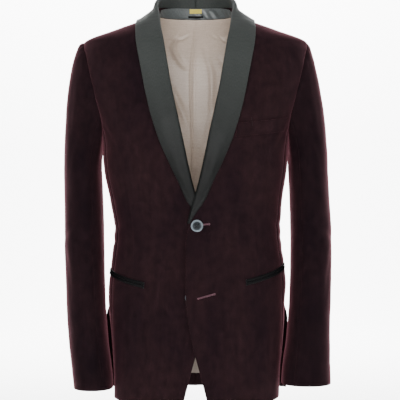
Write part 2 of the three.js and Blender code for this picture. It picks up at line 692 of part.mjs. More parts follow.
// A strip inside the back, between two distances from the centre.
function innerStripGeometry(strip, depth, columns) {
  const place = (u, v) => {
    const x = mix(-strip.x, strip.x, u);
    const z = strip.z + strip.tall * (0.5 - v);
    const out = -depth - strip.bow * Math.sin(Math.PI * u);
    return { turn: 180 - turnAtX(x, z, 1), z, out };
  };
  return panelGeometry(columns, 1, place, strip.thick);
}

function bandGeometry() {
  const place = (u, v) => ({
    turn: mix(180 - BAND.reach, 180 + BAND.reach, u),
    z: mix(BAND.top, BAND.bottom, v) - BAND.endDrop * Math.abs(2 * u - 1) ** 3 * (1 - v),
    out: -VELVET - GAP - SATIN - GAP,
  });
  return panelGeometry(COLUMNS.band, ROWS.band, place, SKIN);
}

function liningGeometry(side) {
  const place = (u, v) => {
    const z = mix(LINING.top, LINING.bottom, v ** LINING.rowCrowding);
    const seam = sideTurn(Math.min(z, ARMHOLE.top - 1), BACK_SEAM_TURN) + LINING.seamTurn;
    const above = 1 - smooth(VENT.top, VENT.full, z);
    const wide = Math.max(seam, VENT.underTurn + LINING.ventTurn - LINING.ventShort * above);
    const turn = mix(shiftTurn(180, z, -GAP / 2), wide, u);
    const pleat = LINING.pleat * Math.exp(-(((180 - turn) / LINING.pleatTurn) ** 2));
    return { turn: turn * side, z, out: -LINING.depth - pleat - bodyRelief(turn * side, z) };
  };
  return panelGeometry(COLUMNS.lining, ROWS.lining, place, SKIN);
}

// The jacket.

const group = new THREE.Group();

function finish(name) {
  return new THREE.MeshStandardMaterial({ ...FINISH[name], metalness: 0 });
}

function add(name, geometry, look) {
  const mesh = new THREE.Mesh(geometry, finish(look));
  mesh.name = name;
  group.add(mesh);
  return mesh;
}

// A button on the front of one side, facing out of the cloth.
function addButton(name, at, side) {
  const mesh = add(name, buttonGeometry(at.across, at.thick), 'button');
  const turn = turnAtX(at.x, at.z, 1);
  mesh.position.copy(bodyPoint(turn, at.z, lapOffset(side, turn, at.z) + at.seat));
  mesh.quaternion.setFromUnitVectors(new THREE.Vector3(0, 0, 1), formNormal(turn, at.z));
}

for (const [hand, side] of [['left', 1], ['right', -1]]) {
  add(`front_${hand}`, frontGeometry(side), 'velvet');
  add(`side_${hand}`, sideGeometry(side), 'velvet');
  add(`back_${hand}`, backGeometry(side), 'velvet');
  const seamBack = SLEEVE_BACK_SEAM - 360;
  const topSleeve = sleeveGeometry(side, seamBack, SLEEVE_FRONT_SEAM, COLUMNS.topSleeve);
  add(`top_sleeve_${hand}`, topSleeve, 'velvet');
  const underSleeve = sleeveGeometry(side, SLEEVE_FRONT_SEAM, SLEEVE_BACK_SEAM, COLUMNS.underSleeve);
  add(`under_sleeve_${hand}`, underSleeve, 'velvet');
  add(`collar_${hand}`, collarGeometry(side), 'satin');
  add(`back_lining_${hand}`, liningGeometry(side), 'lining');
  add(`hip_jet_upper_${hand}`, stripGeometry(side, JET, 0), 'trim');
  add(`hip_jet_lower_${hand}`, stripGeometry(side, JET, JET.tall + JET.seam), 'trim');
}
add('breast_welt', stripGeometry(1, WELT, 0), 'velvet');
add('neck_band', bandGeometry(), 'trim');
const trimDepth = VELVET + GAP + SATIN + GAP + SKIN + GAP;
add('hanger_loop', innerStripGeometry(LOOP, trimDepth, COLUMNS.loop), 'trim');
add('label_blank', innerStripGeometry(LABEL, trimDepth, COLUMNS.label), 'label');
addButton('button_upper', BUTTON_UPPER, 1);
addButton('button_lower', BUTTON_LOWER, -1);

export default group;
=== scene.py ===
import logging
import math
from dataclasses import dataclass, field
from enum import Enum
from typing import Callable, NamedTuple, Sequence

import bpy
import numpy as np
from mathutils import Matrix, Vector

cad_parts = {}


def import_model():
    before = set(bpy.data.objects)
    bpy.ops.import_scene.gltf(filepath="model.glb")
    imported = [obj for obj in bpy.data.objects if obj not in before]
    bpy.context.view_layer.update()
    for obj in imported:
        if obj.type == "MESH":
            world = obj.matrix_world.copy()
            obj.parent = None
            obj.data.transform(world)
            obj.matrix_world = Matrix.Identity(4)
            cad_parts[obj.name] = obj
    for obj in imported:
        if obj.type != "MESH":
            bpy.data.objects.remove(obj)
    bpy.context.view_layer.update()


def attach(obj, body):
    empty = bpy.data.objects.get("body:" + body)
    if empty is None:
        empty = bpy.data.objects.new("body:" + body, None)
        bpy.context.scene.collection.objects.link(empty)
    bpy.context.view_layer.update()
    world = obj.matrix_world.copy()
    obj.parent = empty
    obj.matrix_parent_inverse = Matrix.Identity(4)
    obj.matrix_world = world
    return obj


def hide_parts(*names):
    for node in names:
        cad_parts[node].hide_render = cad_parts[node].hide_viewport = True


# The looks of a velvet tuxedo jacket. Sizes are in millimetres, in the frame of the packed
# model, and become metres as each mesh is made. The body is one form with a turn and a height:
# turn 0 is the centre front, 90 the side towards +X and 180 the centre back.

MM = 0.001
LOG = logging.getLogger("jacket")
ROOT = "root"

Grid = np.ndarray
Place = Callable[[Grid, Grid], tuple[Grid, Grid, Grid]]
SewnRow = tuple[Grid, Grid]
Colour = tuple[float, float, float]
Piece = bpy.types.Object
Finish = bpy.types.Material
Socket = bpy.types.NodeSocket


class Side(Enum):
    """The wearer's two sides, by the sign of +X."""

    LEFT = 1
    RIGHT = -1

    @property
    def word(self) -> str:
        """The side's name in node names."""
        return self.name.lower()


def smooth(start: float, end: float, value: Grid) -> Grid:
    """A soft step."""
    t = np.clip((np.asarray(value, float) - start) / (end - start), 0.0, 1.0)
    return t * t * (3 - 2 * t)


def mix(a: Grid, b: Grid, t: Grid) -> Grid:
    """The value at share t of the way from a to b."""
    return a + (b - a) * t


def swell(value: Grid, power: Grid) -> Grid:
    """A power that keeps its sign, for squared-off ovals."""
    return np.sign(value) * np.abs(value) ** power


def unit(vectors: Grid) -> Grid:
    """Each vector at length one."""
    return vectors / np.maximum(np.linalg.norm(vectors, axis=-1, keepdims=True), 1e-9)


def bell(value: Grid, width: float) -> Grid:
    """A soft bump of height one round zero."""
    return np.exp(-((np.asarray(value, float) / width) ** 2))


class Curve:
    """A curve through a table's rows that never swings past them."""

    def __init__(self, at: Sequence[float], values: Sequence[float]) -> None:
        """Keeps the rows in rising order, with a slope at each.

        Args:
            at: where the rows are.
            values: the curve's values there.
        """
        order = np.argsort(at)
        self.at = np.asarray(at, float)[order]
        self.value = np.asarray(values, float)[order]
        rise = np.diff(self.value) / np.diff(self.at)
        before = np.concatenate([rise[:1], rise])
        after = np.concatenate([rise, rise[-1:]])
        total = np.where(np.abs(before + after) < 1e-12, 1.0, before + after)
        self.slope = np.where(before * after <= 0, 0.0, 2 * before * after / total)

    def __call__(self, x: Grid) -> Grid:
        """The curve's value at each x, held level past its ends.

        Args:
            x: places along it.

        Returns:
            The values there.
        """
        x = np.clip(np.asarray(x, float), self.at[0], self.at[-1])
        i = np.clip(np.searchsorted(self.at, x, side="right") - 1, 0, len(self.at) - 2)
        span = self.at[i + 1] - self.at[i]
        t = (x - self.at[i]) / span
        start = self.value[i] * (2 * t**3 - 3 * t**2 + 1) + self.slope[i] * span * (t**3 - 2 * t**2 + t)
        end = self.value[i + 1] * (3 * t**2 - 2 * t**3) + self.slope[i + 1] * span * (t**3 - t**2)
        return start + end


def curves(rows: Sequence[NamedTuple], *names: str) -> list[Curve]:
    """Curves through a table's columns, by its rows' heights."""
    return [Curve([row.z for row in rows], [getattr(row, name) for row in rows]) for name in names]


class Level(NamedTuple):
    """The body's section at one height."""

    z: float
    half: float
    front: float
    back: float
    square: float
    shift: float


class Fold(NamedTuple):
    """A soft trough or ridge: its place, half sizes, lean from level and height."""

    turn: float
    z: float
    along: float
    across: float
    lean: float
    rise: float

    def height(self, across: Grid, up: Grid) -> Grid:
        """The fold's height at places across and up from its middle.

        Args:
            across: distance round the cloth from the fold's middle.
            up: distance above it.

        Returns:
            The height at each place.
        """
        lean = math.radians(self.lean)
        along = across * math.cos(lean) + up * math.sin(lean)
        off = up * math.cos(lean) - across * math.sin(lean)
        return self.rise * bell(along, self.along) * bell(off, self.across)


class Crease(NamedTuple):
    """A soft crease along a bent line, a trough with a lower ridge along its upper side."""

    path: tuple[tuple[float, float], ...]
    width: float
    depth: float
    lip: float = 0.45

    def height(self, turn: Grid, z: Grid, reach: float) -> Grid:
        """The crease's height at some places.

        Args:
            turn: angle round the form, in degrees.
            z: height.
            reach: millimetres round the form for each degree.

        Returns:
            The height, below zero in the trough.
        """
        line = np.asarray(self.path, float)
        share = np.arange(len(line))
        fine = np.linspace(0, share[-1], 4 * len(line))
        line = np.stack([Curve(share, line[:, 0])(fine), Curve(share, line[:, 1])(fine)], axis=1)
        across = ((turn - line[0, 0] + 180) % 360 - 180) * reach
        line[:, 0] = (line[:, 0] - line[0, 0]) * reach
        nearest = np.full(across.shape, 1e9)
        signed = np.zeros(across.shape)
        along = np.zeros(across.shape)
        for k in range(len(line) - 1):
            ax, az = line[k]
            dx, dz = line[k + 1] - line[k]
            t = np.clip(((across - ax) * dx + (z - az) * dz) / (dx * dx + dz * dz + 1e-9), 0, 1)
            px, pz = across - ax - t * dx, z - az - t * dz
            far = np.hypot(px, pz)
            closer = far < nearest
            nearest = np.where(closer, far, nearest)
            signed = np.where(closer, far * np.sign(dx * pz - dz * px + 1e-9), signed)
            along = np.where(closer, (k + t) / (len(line) - 1), along)
        taper = np.sin(np.pi * np.clip(0.05 + 0.9 * along, 0, 1)) ** 0.8
        off = signed / self.width
        ridge = bell(off - 1.9, 1.15) * self.lip
        return self.depth * taper * (ridge - bell(off, 1.0))


def along(corners: Sequence[tuple[float, float]], steps: int) -> tuple[Grid, Grid]:
    """Even places along a line through corners.

    Args:
        corners: the corners.
        steps: how many places.

    Returns:
        The places' first and second values.
    """
    ends = np.array(corners, float)
    share, row = np.linspace(0, len(ends) - 1, steps), np.arange(len(ends))
    return np.interp(share, row, ends[:, 0]), np.interp(share, row, ends[:, 1])


@dataclass(frozen=True)
class Waves:
    """Soft, repeatable unevenness, the sum of waves in many directions."""

    seed: int
    shortest: float
    longest: float
    count: int = 22

    def __call__(self, x: Grid, y: Grid) -> Grid:
        """The waves' height at places, about one high at most.

        Args:
            x: places one way.
            y: places the other way.

        Returns:
            The heights.
        """
        rng = np.random.default_rng(self.seed)
        length = rng.uniform(self.shortest, self.longest, self.count)
        angle = rng.uniform(0, math.tau, self.count)
        phase = rng.uniform(0, math.tau, self.count)
        total = np.zeros(np.broadcast(x, y).shape)
        for size, lean, start in zip(length, angle, phase):
            rate = math.tau / size
            total += np.sin((x * math.cos(lean) + y * math.sin(lean)) * rate + start)
        return total / math.sqrt(self.count)


def table(kind: type, *rows: tuple) -> tuple:
    """Makes one value of a kind from each row of numbers."""
    return tuple(kind(*row) for row in rows)


BODY_LEVELS = table(
    Level,
    (66, 73, 36, 76, 2.1, 0),
    (36, 74, 38, 75, 2.1, 0),
    (16, 78, 46, 80, 2.15, 0),
    (0, 99, 57, 88, 2.2, 0),
    (-20, 151, 72, 98, 2.25, 0),
    (-46, 212, 87, 108, 2.35, 0),
    (-64, 216, 94, 113, 2.5, 0),
    (-90, 216, 101, 117, 2.6, 0),
    (-114, 213, 106, 119, 2.6, 0),
    (-150, 204, 112, 121, 2.6, 0),
    (-190, 189, 117, 121, 2.55, 0),
    (-227, 178, 119, 119, 2.5, 0),
    (-285, 173, 116, 111, 2.45, -0.4),
    (-342, 163, 110, 102, 2.4, 1.2),
    (-399, 157, 105, 96, 2.35, 3.6),
    (-456, 163, 107, 101, 2.35, 4.0),
    (-513, 168.5, 112, 109, 2.4, 3.2),
    (-600, 169.5, 117, 115, 2.4, 1.5),
    (-730, 168, 120, 118, 2.4, 0),
)

# Turn, height, half length, half width, lean and depth of each fold of the body.
BODY_FOLDS = table(
    Fold,
    (22, -420, 62, 10, -24, -2.2),
    (-24, -424, 58, 10, 26, -2.0),
    (36, -352, 50, 9, 20, -1.6),
    (-38, -348, 46, 9, -18, -1.7),
    (150, -392, 60, 11, 8, -2.4),
    (-152, -398, 54, 10, -10, -2.2),
    (148, -438, 48, 10, -12, -1.8),
    (138, -210, 60, 12, 66, -2.2),
    (-140, -206, 56, 12, -64, -2.3),
)

# Where drag lines run from the button, the armholes and the waist, and how the skirts flute.
BODY_CREASES = table(
    Crease,
    (((9, -391), (23, -398), (43, -392)), 6.5, 0.9),
    (((10, -382), (24, -368), (37, -344)), 8.0, 0.8),
    (((8, -404), (19, -432), (30, -474)), 9.0, 0.9),
    (((-7, -389), (-21, -393), (-39, -383)), 7.0, 0.9),
    (((-8, -379), (-23, -360), (-33, -330)), 8.0, 0.8),
    (((-7, -403), (-16, -436), (-24, -470)), 8.5, 1.0),
    (((66, -206), (58, -236), (47, -263)), 9.0, 1.3),
    (((-66, -200), (-59, -226), (-50, -248)), 8.5, 1.2),
    (((46, -62), (53, -86), (58, -118)), 11.0, 0.9),
    (((-45, -66), (-52, -92), (-58, -128)), 11.0, 0.9),
    (((56, -376), (76, -390), (97, -384)), 7.5, 1.3),
    (((62, -407), (84, -414), (106, -400)), 7.0, 1.1),
    (((72, -432), (88, -437), (100, -430)), 8.0, 0.8),
    (((-58, -384), (-80, -396), (-100, -387)), 7.5, 1.2),
    (((-66, -414), (-86, -420), (-104, -409)), 7.0, 1.1),
    (((28, -505), (31, -600), (29, -730)), 17.0, 1.5, 0.3),
    (((52, -512), (54, -610), (51, -720)), 14.0, 1.4, 0.3),
    (((-31, -500), (-34, -606), (-32, -730)), 16.0, 1.6, 0.3),
    (((-55, -520), (-53, -600), (-56, -718)), 14.0, 1.3, 0.3),
    (((147, -352), (160, -366), (174, -362)), 6.5, 1.5),
    (((142, -386), (158, -396), (177, -388)), 7.0, 1.8),
    (((150, -418), (163, -424), (173, -417)), 6.0, 1.2),
    (((-145, -362), (-158, -374), (-171, -369)), 6.5, 1.4),
    (((-140, -398), (-157, -408), (-176, -399)), 7.0, 1.7),
    (((-150, -431), (-160, -436), (-168, -430)), 6.0, 1.1),
    (((122, -150), (128, -206), (137, -268)), 10.0, 1.9),
    (((131, -128), (139, -180), (146, -226)), 9.0, 1.1),
    (((-121, -146), (-127, -198), (-138, -256)), 10.0, 1.8),
    (((-132, -136), (-138, -174), (-148, -214)), 9.0, 1.1),
    (((166, -22), (180, -31), (195, -23)), 7.0, 0.9),
    (((146, -515), (149, -610), (146, -725)), 16.0, 1.7, 0.3),
    (((166, -505), (168, -600), (166, -725)), 13.0, 1.2, 0.3),
    (((-149, -520), (-147, -615), (-150, -725)), 16.0, 1.6, 0.3),
    (((-169, -540), (-167, -620), (-170, -725)), 13.0, 1.1, 0.3),
)

HEM_ROWS = (
    (0, -690), (4.5, -704), (8, -716), (13, -722), (24, -723), (46, -714),
    (64, -709), (90, -708), (114, -704), (134, -706), (154, -710), (180, -712),
)

# How far each skirt falls in ahead of its vent, from the hem's height upwards.
LET_IN_HEIGHTS = (-730, -671, -627, -582, -532, -500)
LET_IN = {
    1: Curve(LET_IN_HEIGHTS, (13, 12, 8, 4.6, 3, 0)),
    -1: Curve(LET_IN_HEIGHTS, (20, 19, 14.7, 8.6, 1.5, 0)),
}


@dataclass
class BodyForm:
    """The worn cloth's outer surface, from the collar's fold to the hem."""

    levels: tuple[Level, ...] = BODY_LEVELS
    folds: tuple[Fold, ...] = BODY_FOLDS
    creases: tuple[Crease, ...] = BODY_CREASES
    hem_rows: tuple[tuple[float, float], ...] = HEM_ROWS  # turn and height of the hem

    def __post_init__(self) -> None:
        """Makes a curve of each column."""
        columns = curves(self.levels, "half", "front", "back", "square", "shift")
        self.half, self.front, self.back, self.square, self.shift = columns
        self.hem = Curve(*zip(*self.hem_rows))

    def point(self, turn: Grid, z: Grid) -> Grid:
        """Points of the smooth form.

        Args:
            turn: turns around the body, in degrees.
            z: heights.

        Returns:
            The points, in millimetres.
        """
        power = 2 / self.square(z)
        side = np.sin(np.radians(turn))
        ahead = np.cos(np.radians(turn))
        depth = np.where(ahead >= 0, self.front(z), self.back(z))
        x = self.shift(z) + self.half(z) * swell(side, power)
        return np.stack([x, -depth * swell(ahead, power), z + 0 * x], axis=-1)

    def normal(self, turn: Grid, z: Grid) -> Grid:
        """The direction out of the form.

        Args:
            turn: turns around the body, in degrees.
            z: heights.

        Returns:
            Directions of length 1.
        """
        across = self.point(turn + 0.6, z) - self.point(turn - 0.6, z)
        up = self.point(turn, z + 1.2) - self.point(turn, z - 1.2)
        return unit(np.cross(across, up))

    def relief(self, turn: Grid, z: Grid) -> Grid:
        """The height of the folds.

        Args:
            turn: turns around the body, in degrees.
            z: heights.

        Returns:
            The heights.
        """
        wrapped = np.where(turn > 180, turn - 360, turn)
        total = np.zeros(np.broadcast(turn, z).shape)
        for fold in self.folds:
            radius = (self.half(fold.z) + self.front(fold.z)) / 2
            total = total + fold.height(np.radians(wrapped - fold.turn) * radius, z - fold.z)
        return total

    def creasing(self, turn: Grid, z: Grid) -> Grid:
        """The height of the creases and of the cloth's own unevenness.

        Args:
            turn: turns around the body, in degrees.
            z: heights.

        Returns:
            The heights.
        """
        total = 0.22 * Waves(4, 34, 120)(turn * 2.4, z)
        for crease in self.creases:
            total = total + crease.height(turn, z, 2.6)
        return total

    def lap(self, side: int, turn: Grid, z: Grid) -> Grid:
        """How far a front is raised or lowered where the two lap, and let in beside its vent.

        Args:
            side: 1 for the upper front, -1 for the lower one.
            turn: angle round the form.
            z: height.

        Returns:
            The distance out of the form.
        """
        near = 1 - smooth(24, 92, np.abs(self.point(turn, z)[..., 0]))
        let_in = LET_IN[side](z) * bell(turn - 90, 22.0)
        return (3.9 if side > 0 else -3.5) * near * smooth(-150, -300, z) - let_in

    def cloth(self, turn: Grid, z: Grid, out: Grid) -> Grid:
        """Points of the folded cloth, some distance out from it.

        Args:
            turn: angle round the form, in degrees.
            z: height.
            out: distance out of the cloth.

        Returns:
            The points.
        """
        turn, z = np.broadcast_arrays(np.asarray(turn, float), np.asarray(z, float))
        lift = np.asarray(out + self.relief(turn, z))
        return self.point(turn, z) + self.normal(turn, z) * lift[..., None]

    def turn_at(self, x: Grid, z: Grid, side: int) -> Grid:
        """The turn on the front at a distance from the centre, counted to one side.

        Args:
            x: distances from the centre.
            z: heights.
            side: 1 on the wearer's left, -1 on the right.

        Returns:
            The turns, counted from the centre.
        """
        off = x - side * self.shift(z)
        share = np.minimum(1.0, np.abs(off) / self.half(z))
        return np.sign(off) * np.degrees(np.arcsin(share ** (self.square(z) / 2)))

    def shifted(self, turn: Grid, z: Grid, distance: Grid) -> Grid:
        """The turn that lies some millimetres further round."""
        step = np.linalg.norm(self.point(turn + 0.3, z) - self.point(turn - 0.3, z), axis=-1) / 0.6
        return turn + distance / step


@dataclass
class Armhole:
    """The oval where a sleeve is set in."""

    top: float = -46.0
    bottom: float = -227.0
    front_reach: float = 27.0  # degrees that it reaches ahead of the side
    back_reach: float = 25.0  # degrees that it reaches behind the side
    fullness: float = 0.8  # how square the oval is, fuller below 1

    def angle(self, z: Grid) -> Grid:
        """Angle round the oval, from its top, at a height."""
        share = np.clip((self.top - z) / (self.top - self.bottom), 0, 1)
        return np.arccos(1 - 2 * share)

    def height(self, angle: Grid) -> Grid:
        """Height at an angle from the top."""
        return self.top - (self.top - self.bottom) * (1 - np.cos(angle)) / 2

    def turn(self, angle: Grid, ahead: Grid) -> Grid:
        """Turn of the oval's edge ahead of the side or behind it."""
        reach = np.where(ahead, -self.front_reach, self.back_reach)
        return 90 + reach * np.maximum(0, np.sin(angle)) ** self.fullness

    def angle_at(self, turn: Grid) -> Grid:
        """Angle where the oval's lower half passes a turn.

        Args:
            turn: the turn.

        Returns:
            The angle.
        """
        reach = np.where(np.asarray(turn) < 90, self.front_reach, self.back_reach)
        share = np.clip(np.abs(turn - 90) / reach, 0, 1)
        return np.pi - np.arcsin(share ** (1 / self.fullness))


class LapelRow(NamedTuple):
    """The lapel's fold and outer edge, by height and distance from the centre."""

    roll_z: float
    roll_x: float
    edge_z: float
    edge_x: float
    puff: float


class CollarRow(NamedTuple):
    """The collar's fold and outer edge, by turn and height, and what shows inside."""

    roll_turn: float
    roll_z: float
    edge_turn: float
    edge_z: float
    inner: float
    puff: float
    lift: float = 1.6


LAPEL_ROWS = table(
    LapelRow,
    (-20, 65.5, -27, 110.5, 3.2),
    (-45, 60.5, -56, 108, 2.6),
    (-88, 53, -102, 99, 2.2),
    (-132, 45.5, -148, 90, 2.2),
    (-175, 36.5, -190, 79.5, 2.2),
    (-220, 26.5, -233, 65.5, 2.2),
    (-262, 17.8, -273, 48.5, 2.0),
    (-304, 8.3, -311, 30.5, 1.2),
    (-335, 0, -341, 17.5, 0.3),
    (-360, -7, -363, 2.5, 0.1),
    (-384, -13.4, -385, -10.2, 0),
)
COLLAR_ROWS = table(
    CollarRow,
    (180, 62, 180, 12, 0.56, 1.5),
    (158, 61, 157, 11, 0.56, 1.5),
    (136, 57, 137, 8, 0.52, 2.0),
    (114, 48, 119, 3, 0.42, 2.2),
    (95, 36, 104, -1.5, 0.32, 2.0),
    (76, 24, 86, -4, 0.27, 2.2),
    (52, 8, 62, -10, 0.24, 3.0),
)
FRONT_EDGE_ROWS = (
    (-384, -11.4), (-425, -17.4), (-517, -17.4), (-557, -14.9),
    (-592, -9.6), (-631, -1.7), (-664, 7.9), (-704, 20.6),
)


@dataclass
class Vent:
    """The opening in the back side seam, where the back laps over the side."""

    top: float = -468.0  # height where it starts
    full: float = -500.0  # height where the layers are apart
    wide: float = -572.0  # height from which the lap is at its widest
    flap_turn: float = 107.0  # turn of the back's free edge
    under_turn: float = 118.0  # turn of the side panel's free edge
    flare: float = 6.5  # how far the back stands out beside it
    curl: float = 6.5  # how far its free edge turns out besides
    sink: float = 2.4  # how far the side panel lies in

    def opened(self, z: Grid) -> Grid:
        """0 above the vent and 1 where its layers are apart."""
        return smooth(self.top, self.full, z)

    def widened(self, z: Grid) -> Grid:
        """0 above the lap and 1 where it is widest."""
        return smooth(self.full, self.wide, z)


@dataclass
class Pattern:
    """Where the panels' edges lie on the form, by shares of their rows."""

    form: BodyForm
    armhole: Armhole = field(default_factory=Armhole)
    vent: Vent = field(default_factory=Vent)
    front_seam: float = 70.0  # turn of the seam between front and side
    back_seam: float = 114.0  # turn of the seam between side and back
    shoulder_share: float = 6 / 27  # share of a panel's rows along the shoulder
    armhole_share: float = 14 / 27  # share of the rows at the armhole's end
    touch: float = -0.15  # half the distance between two panels at a seam
    fold_inset: float = 3.6  # how far the front's edge lies behind the lapel's fold

    def __post_init__(self) -> None:
        """Makes the curves of the cut edges."""
        join = COLLAR_ROWS[-1]
        side = self.form.point(np.float64(join.roll_turn), np.float64(join.roll_z))[0]
        self.roll = Curve([join.roll_z, *(row.roll_z for row in LAPEL_ROWS)],
                          [side, *(row.roll_x for row in LAPEL_ROWS)])
        self.neck_roll = Curve([row.roll_z for row in COLLAR_ROWS], [row.roll_turn for row in COLLAR_ROWS])
        self.front_edge = Curve(*zip(*FRONT_EDGE_ROWS))
        shares = [0, self.shoulder_share, self.armhole_share, 1]
        self.front_inner = Curve(shares, [22, -60, -258, -704])
        self.back_centre = Curve(shares, [40, -58, -200, -712])

    def side_height(self, share: Grid, top: float, seam: float) -> Grid:
        """Height down a panel's side: shoulder seam, armhole, then the seam below it.

        Args:
            share: shares of the panel's rows.
            top: height at the shoulder's inner end.
            seam: turn of the seam below the armhole.

        Returns:
            The heights.
        """
        last = self.armhole.angle_at(seam)
        shoulder = mix(top, self.armhole.top, share / self.shoulder_share)
        span = self.armhole_share - self.shoulder_share
        hole = self.armhole.height(last * np.clip((share - self.shoulder_share) / span, 0, 1))
        below = (share - self.armhole_share) / (1 - self.armhole_share)
        seam_line = mix(self.armhole.height(last), self.form.hem(seam), below)
        lower = np.where(share < self.armhole_share, hole, seam_line)
        return np.where(share < self.shoulder_share, shoulder, lower)

    def side_turn(self, z: Grid, seam: float) -> Grid:
        """Turn of that side at a height.

        Args:
            z: heights.
            seam: turn of the seam below the armhole.

        Returns:
            The turns.
        """
        ahead = seam < 90
        inset = -self.touch if ahead else self.touch
        angle = self.armhole.angle(z)
        hole = self.armhole.turn(angle, ahead)
        lower = np.where(angle < self.armhole.angle_at(seam), hole, self.form.shifted(seam, z, inset))
        return np.where(z >= self.armhole.top, self.form.shifted(90.0, z, inset), lower)

    def front_turn(self, z: Grid, side: int) -> Grid:
        """Turn of the front's inner edge: under the lapel's fold, then the cut edge.

        Args:
            z: heights.
            side: 1 on the wearer's left, -1 on the right.

        Returns:
            The turns.
        """
        neck = self.form.shifted(self.neck_roll(z), z, self.fold_inset)
        rolled = self.roll(z) + self.fold_inset * smooth(-384, -375, z)
        x = np.where(z > FRONT_EDGE_ROWS[0][0], rolled, self.front_edge(z))
        return np.where(z > COLLAR_ROWS[-1].roll_z, neck, self.form.turn_at(x, z, side))

    def front(self, side: int) -> Place:
        """Where a front's shares lie.

        Args:
            side: 1 on the wearer's left, -1 on the right.

        Returns:
            The function that places them.
        """
        def place(u: Grid, v: Grid) -> tuple[Grid, Grid, Grid]:
            """Places shares across and down."""
            inner_z = self.front_inner(v)
            outer_z = self.side_height(v, 22, self.front_seam)
            share = u ** 1.2
            turn = mix(self.front_turn(inner_z, side), self.side_turn(outer_z, self.front_seam), share)
            hem = self.form.hem
            drop = hem(turn) - mix(FRONT_EDGE_ROWS[-1][0], hem(self.front_seam), share)
            z = mix(inner_z, outer_z, share) + drop * smooth(0.75, 1, v)
            return turn * side, z, self.form.lap(side, turn, z)
        return place

    def side(self, side: int) -> Place:
        """Where a side panel's shares lie.

        Args:
            side: 1 on the wearer's left, -1 on the right.

        Returns:
            The function that places them.
        """
        def place(u: Grid, v: Grid) -> tuple[Grid, Grid, Grid]:
            """Places shares across and down."""
            rough = mix(self.armhole.bottom, self.form.hem(90), v)
            rear = mix(self.back_seam, self.vent.under_turn, self.vent.widened(rough))
            seam = mix(self.front_seam, rear, u)
            across = mix(self.front_seam, self.back_seam, u)
            z = mix(self.armhole.height(self.armhole.angle_at(across)), self.form.hem(seam), v)
            slack = self.touch + 0.5 * smooth(self.vent.top + 40, self.vent.top, z)
            first = self.form.shifted(self.front_seam, z, self.touch)
            turn = mix(first, self.form.shifted(rear, z, -slack), u)
            sink = self.vent.sink * self.vent.opened(z) * smooth(0.55, 0.95, u)
            return turn * side, z, self.form.lap(side, turn, z) - sink
        return place

    def back(self, side: int) -> Place:
        """Where a back panel's shares lie.

        Args:
            side: 1 on the wearer's left, -1 on the right.

        Returns:
            The function that places them.
        """
        def place(u: Grid, v: Grid) -> tuple[Grid, Grid, Grid]:
            """Places shares across and down."""
            outer_z = self.side_height(v, 28, self.back_seam)
            z = mix(outer_z, self.back_centre(v), u)
            flap = self.vent.widened(outer_z)
            outer = mix(self.side_turn(outer_z, self.back_seam), self.vent.flap_turn, flap)
            turn = mix(outer, self.form.shifted(180.0, z, -self.touch), u)
            lift = self.vent.opened(z) * (1 - smooth(0, 0.3, u))
            curl = self.vent.curl * flap * (1 - smooth(0, 0.13, u))
            return turn * side, z, lift * (1 + self.vent.flare * flap) + curl
        return place

    def lining(self, side: int) -> Place:
        """Where a back lining's shares lie, with the pleat down the centre.

        Args:
            side: 1 on the wearer's left, -1 on the right.

        Returns:
            The function that places them.
        """
        def place(u: Grid, v: Grid) -> tuple[Grid, Grid, Grid]:
            """Places shares across and down."""
            z = mix(13.2, -686, v ** 1.35)
            seam = self.side_turn(np.minimum(z, self.armhole.top - 1), self.back_seam) + 2.5
            wide = np.maximum(seam, self.vent.under_turn + 1.5 - 4 * (1 - self.vent.opened(z)))
            turn = mix(self.form.shifted(180.0, z, -self.touch), wide, u ** 1.6)
            out = -4.8 - 1.6 * bell(180 - turn, 5.0)
            return turn * side, z, out - self.form.relief(turn * side, z)
        return place


class Edges(NamedTuple):
    """Which sides of a panel's grid are sewn to a neighbour."""

    left: bool = False  # the side where the first share is 0
    right: bool = False  # the side where the first share is 1
    top: bool = False  # the side where the second share is 0
    bottom: bool = False  # the side where the second share is 1


@dataclass
class Weave:
    """How finely a cloth's grid is cut, and how thick the cloth is."""

    columns: int  # squares across
    rows: int  # squares down
    width: float  # mean width in millimetres, for the edges' shape
    height: float  # mean height in millimetres
    thick: float
    corners: tuple[float, ...] = ()  # shares of the rows that have to be met exactly

    def shares(self, count: int, size: float, corners: tuple[float, ...] = ()) -> Grid:
        """Even shares with a few more by each edge, so that the edge can be round.

        Args:
            count: how many between the edges.
            size: the cloth's width or height.
            corners: shares that have to be met exactly.

        Returns:
            The shares, rising.
        """
        near = np.array([0.0, 0.12, 0.32, 0.62, 1.0, 1.6]) * self.thick / 2 / size
        middle = np.linspace(near[-1], 1 - near[-1], count)
        for corner in corners:
            middle[np.argmin(np.abs(middle - corner))] = corner
        return np.unique(np.concatenate([near, middle, 1 - near]))

    def grid(self) -> tuple[Grid, Grid]:
        """The shares across and down, one pair for each point.

        Returns:
            The shares across and those down.
        """
        across = self.shares(self.columns, self.width)
        down = self.shares(self.rows, self.height, self.corners)
        return np.meshgrid(across, down)


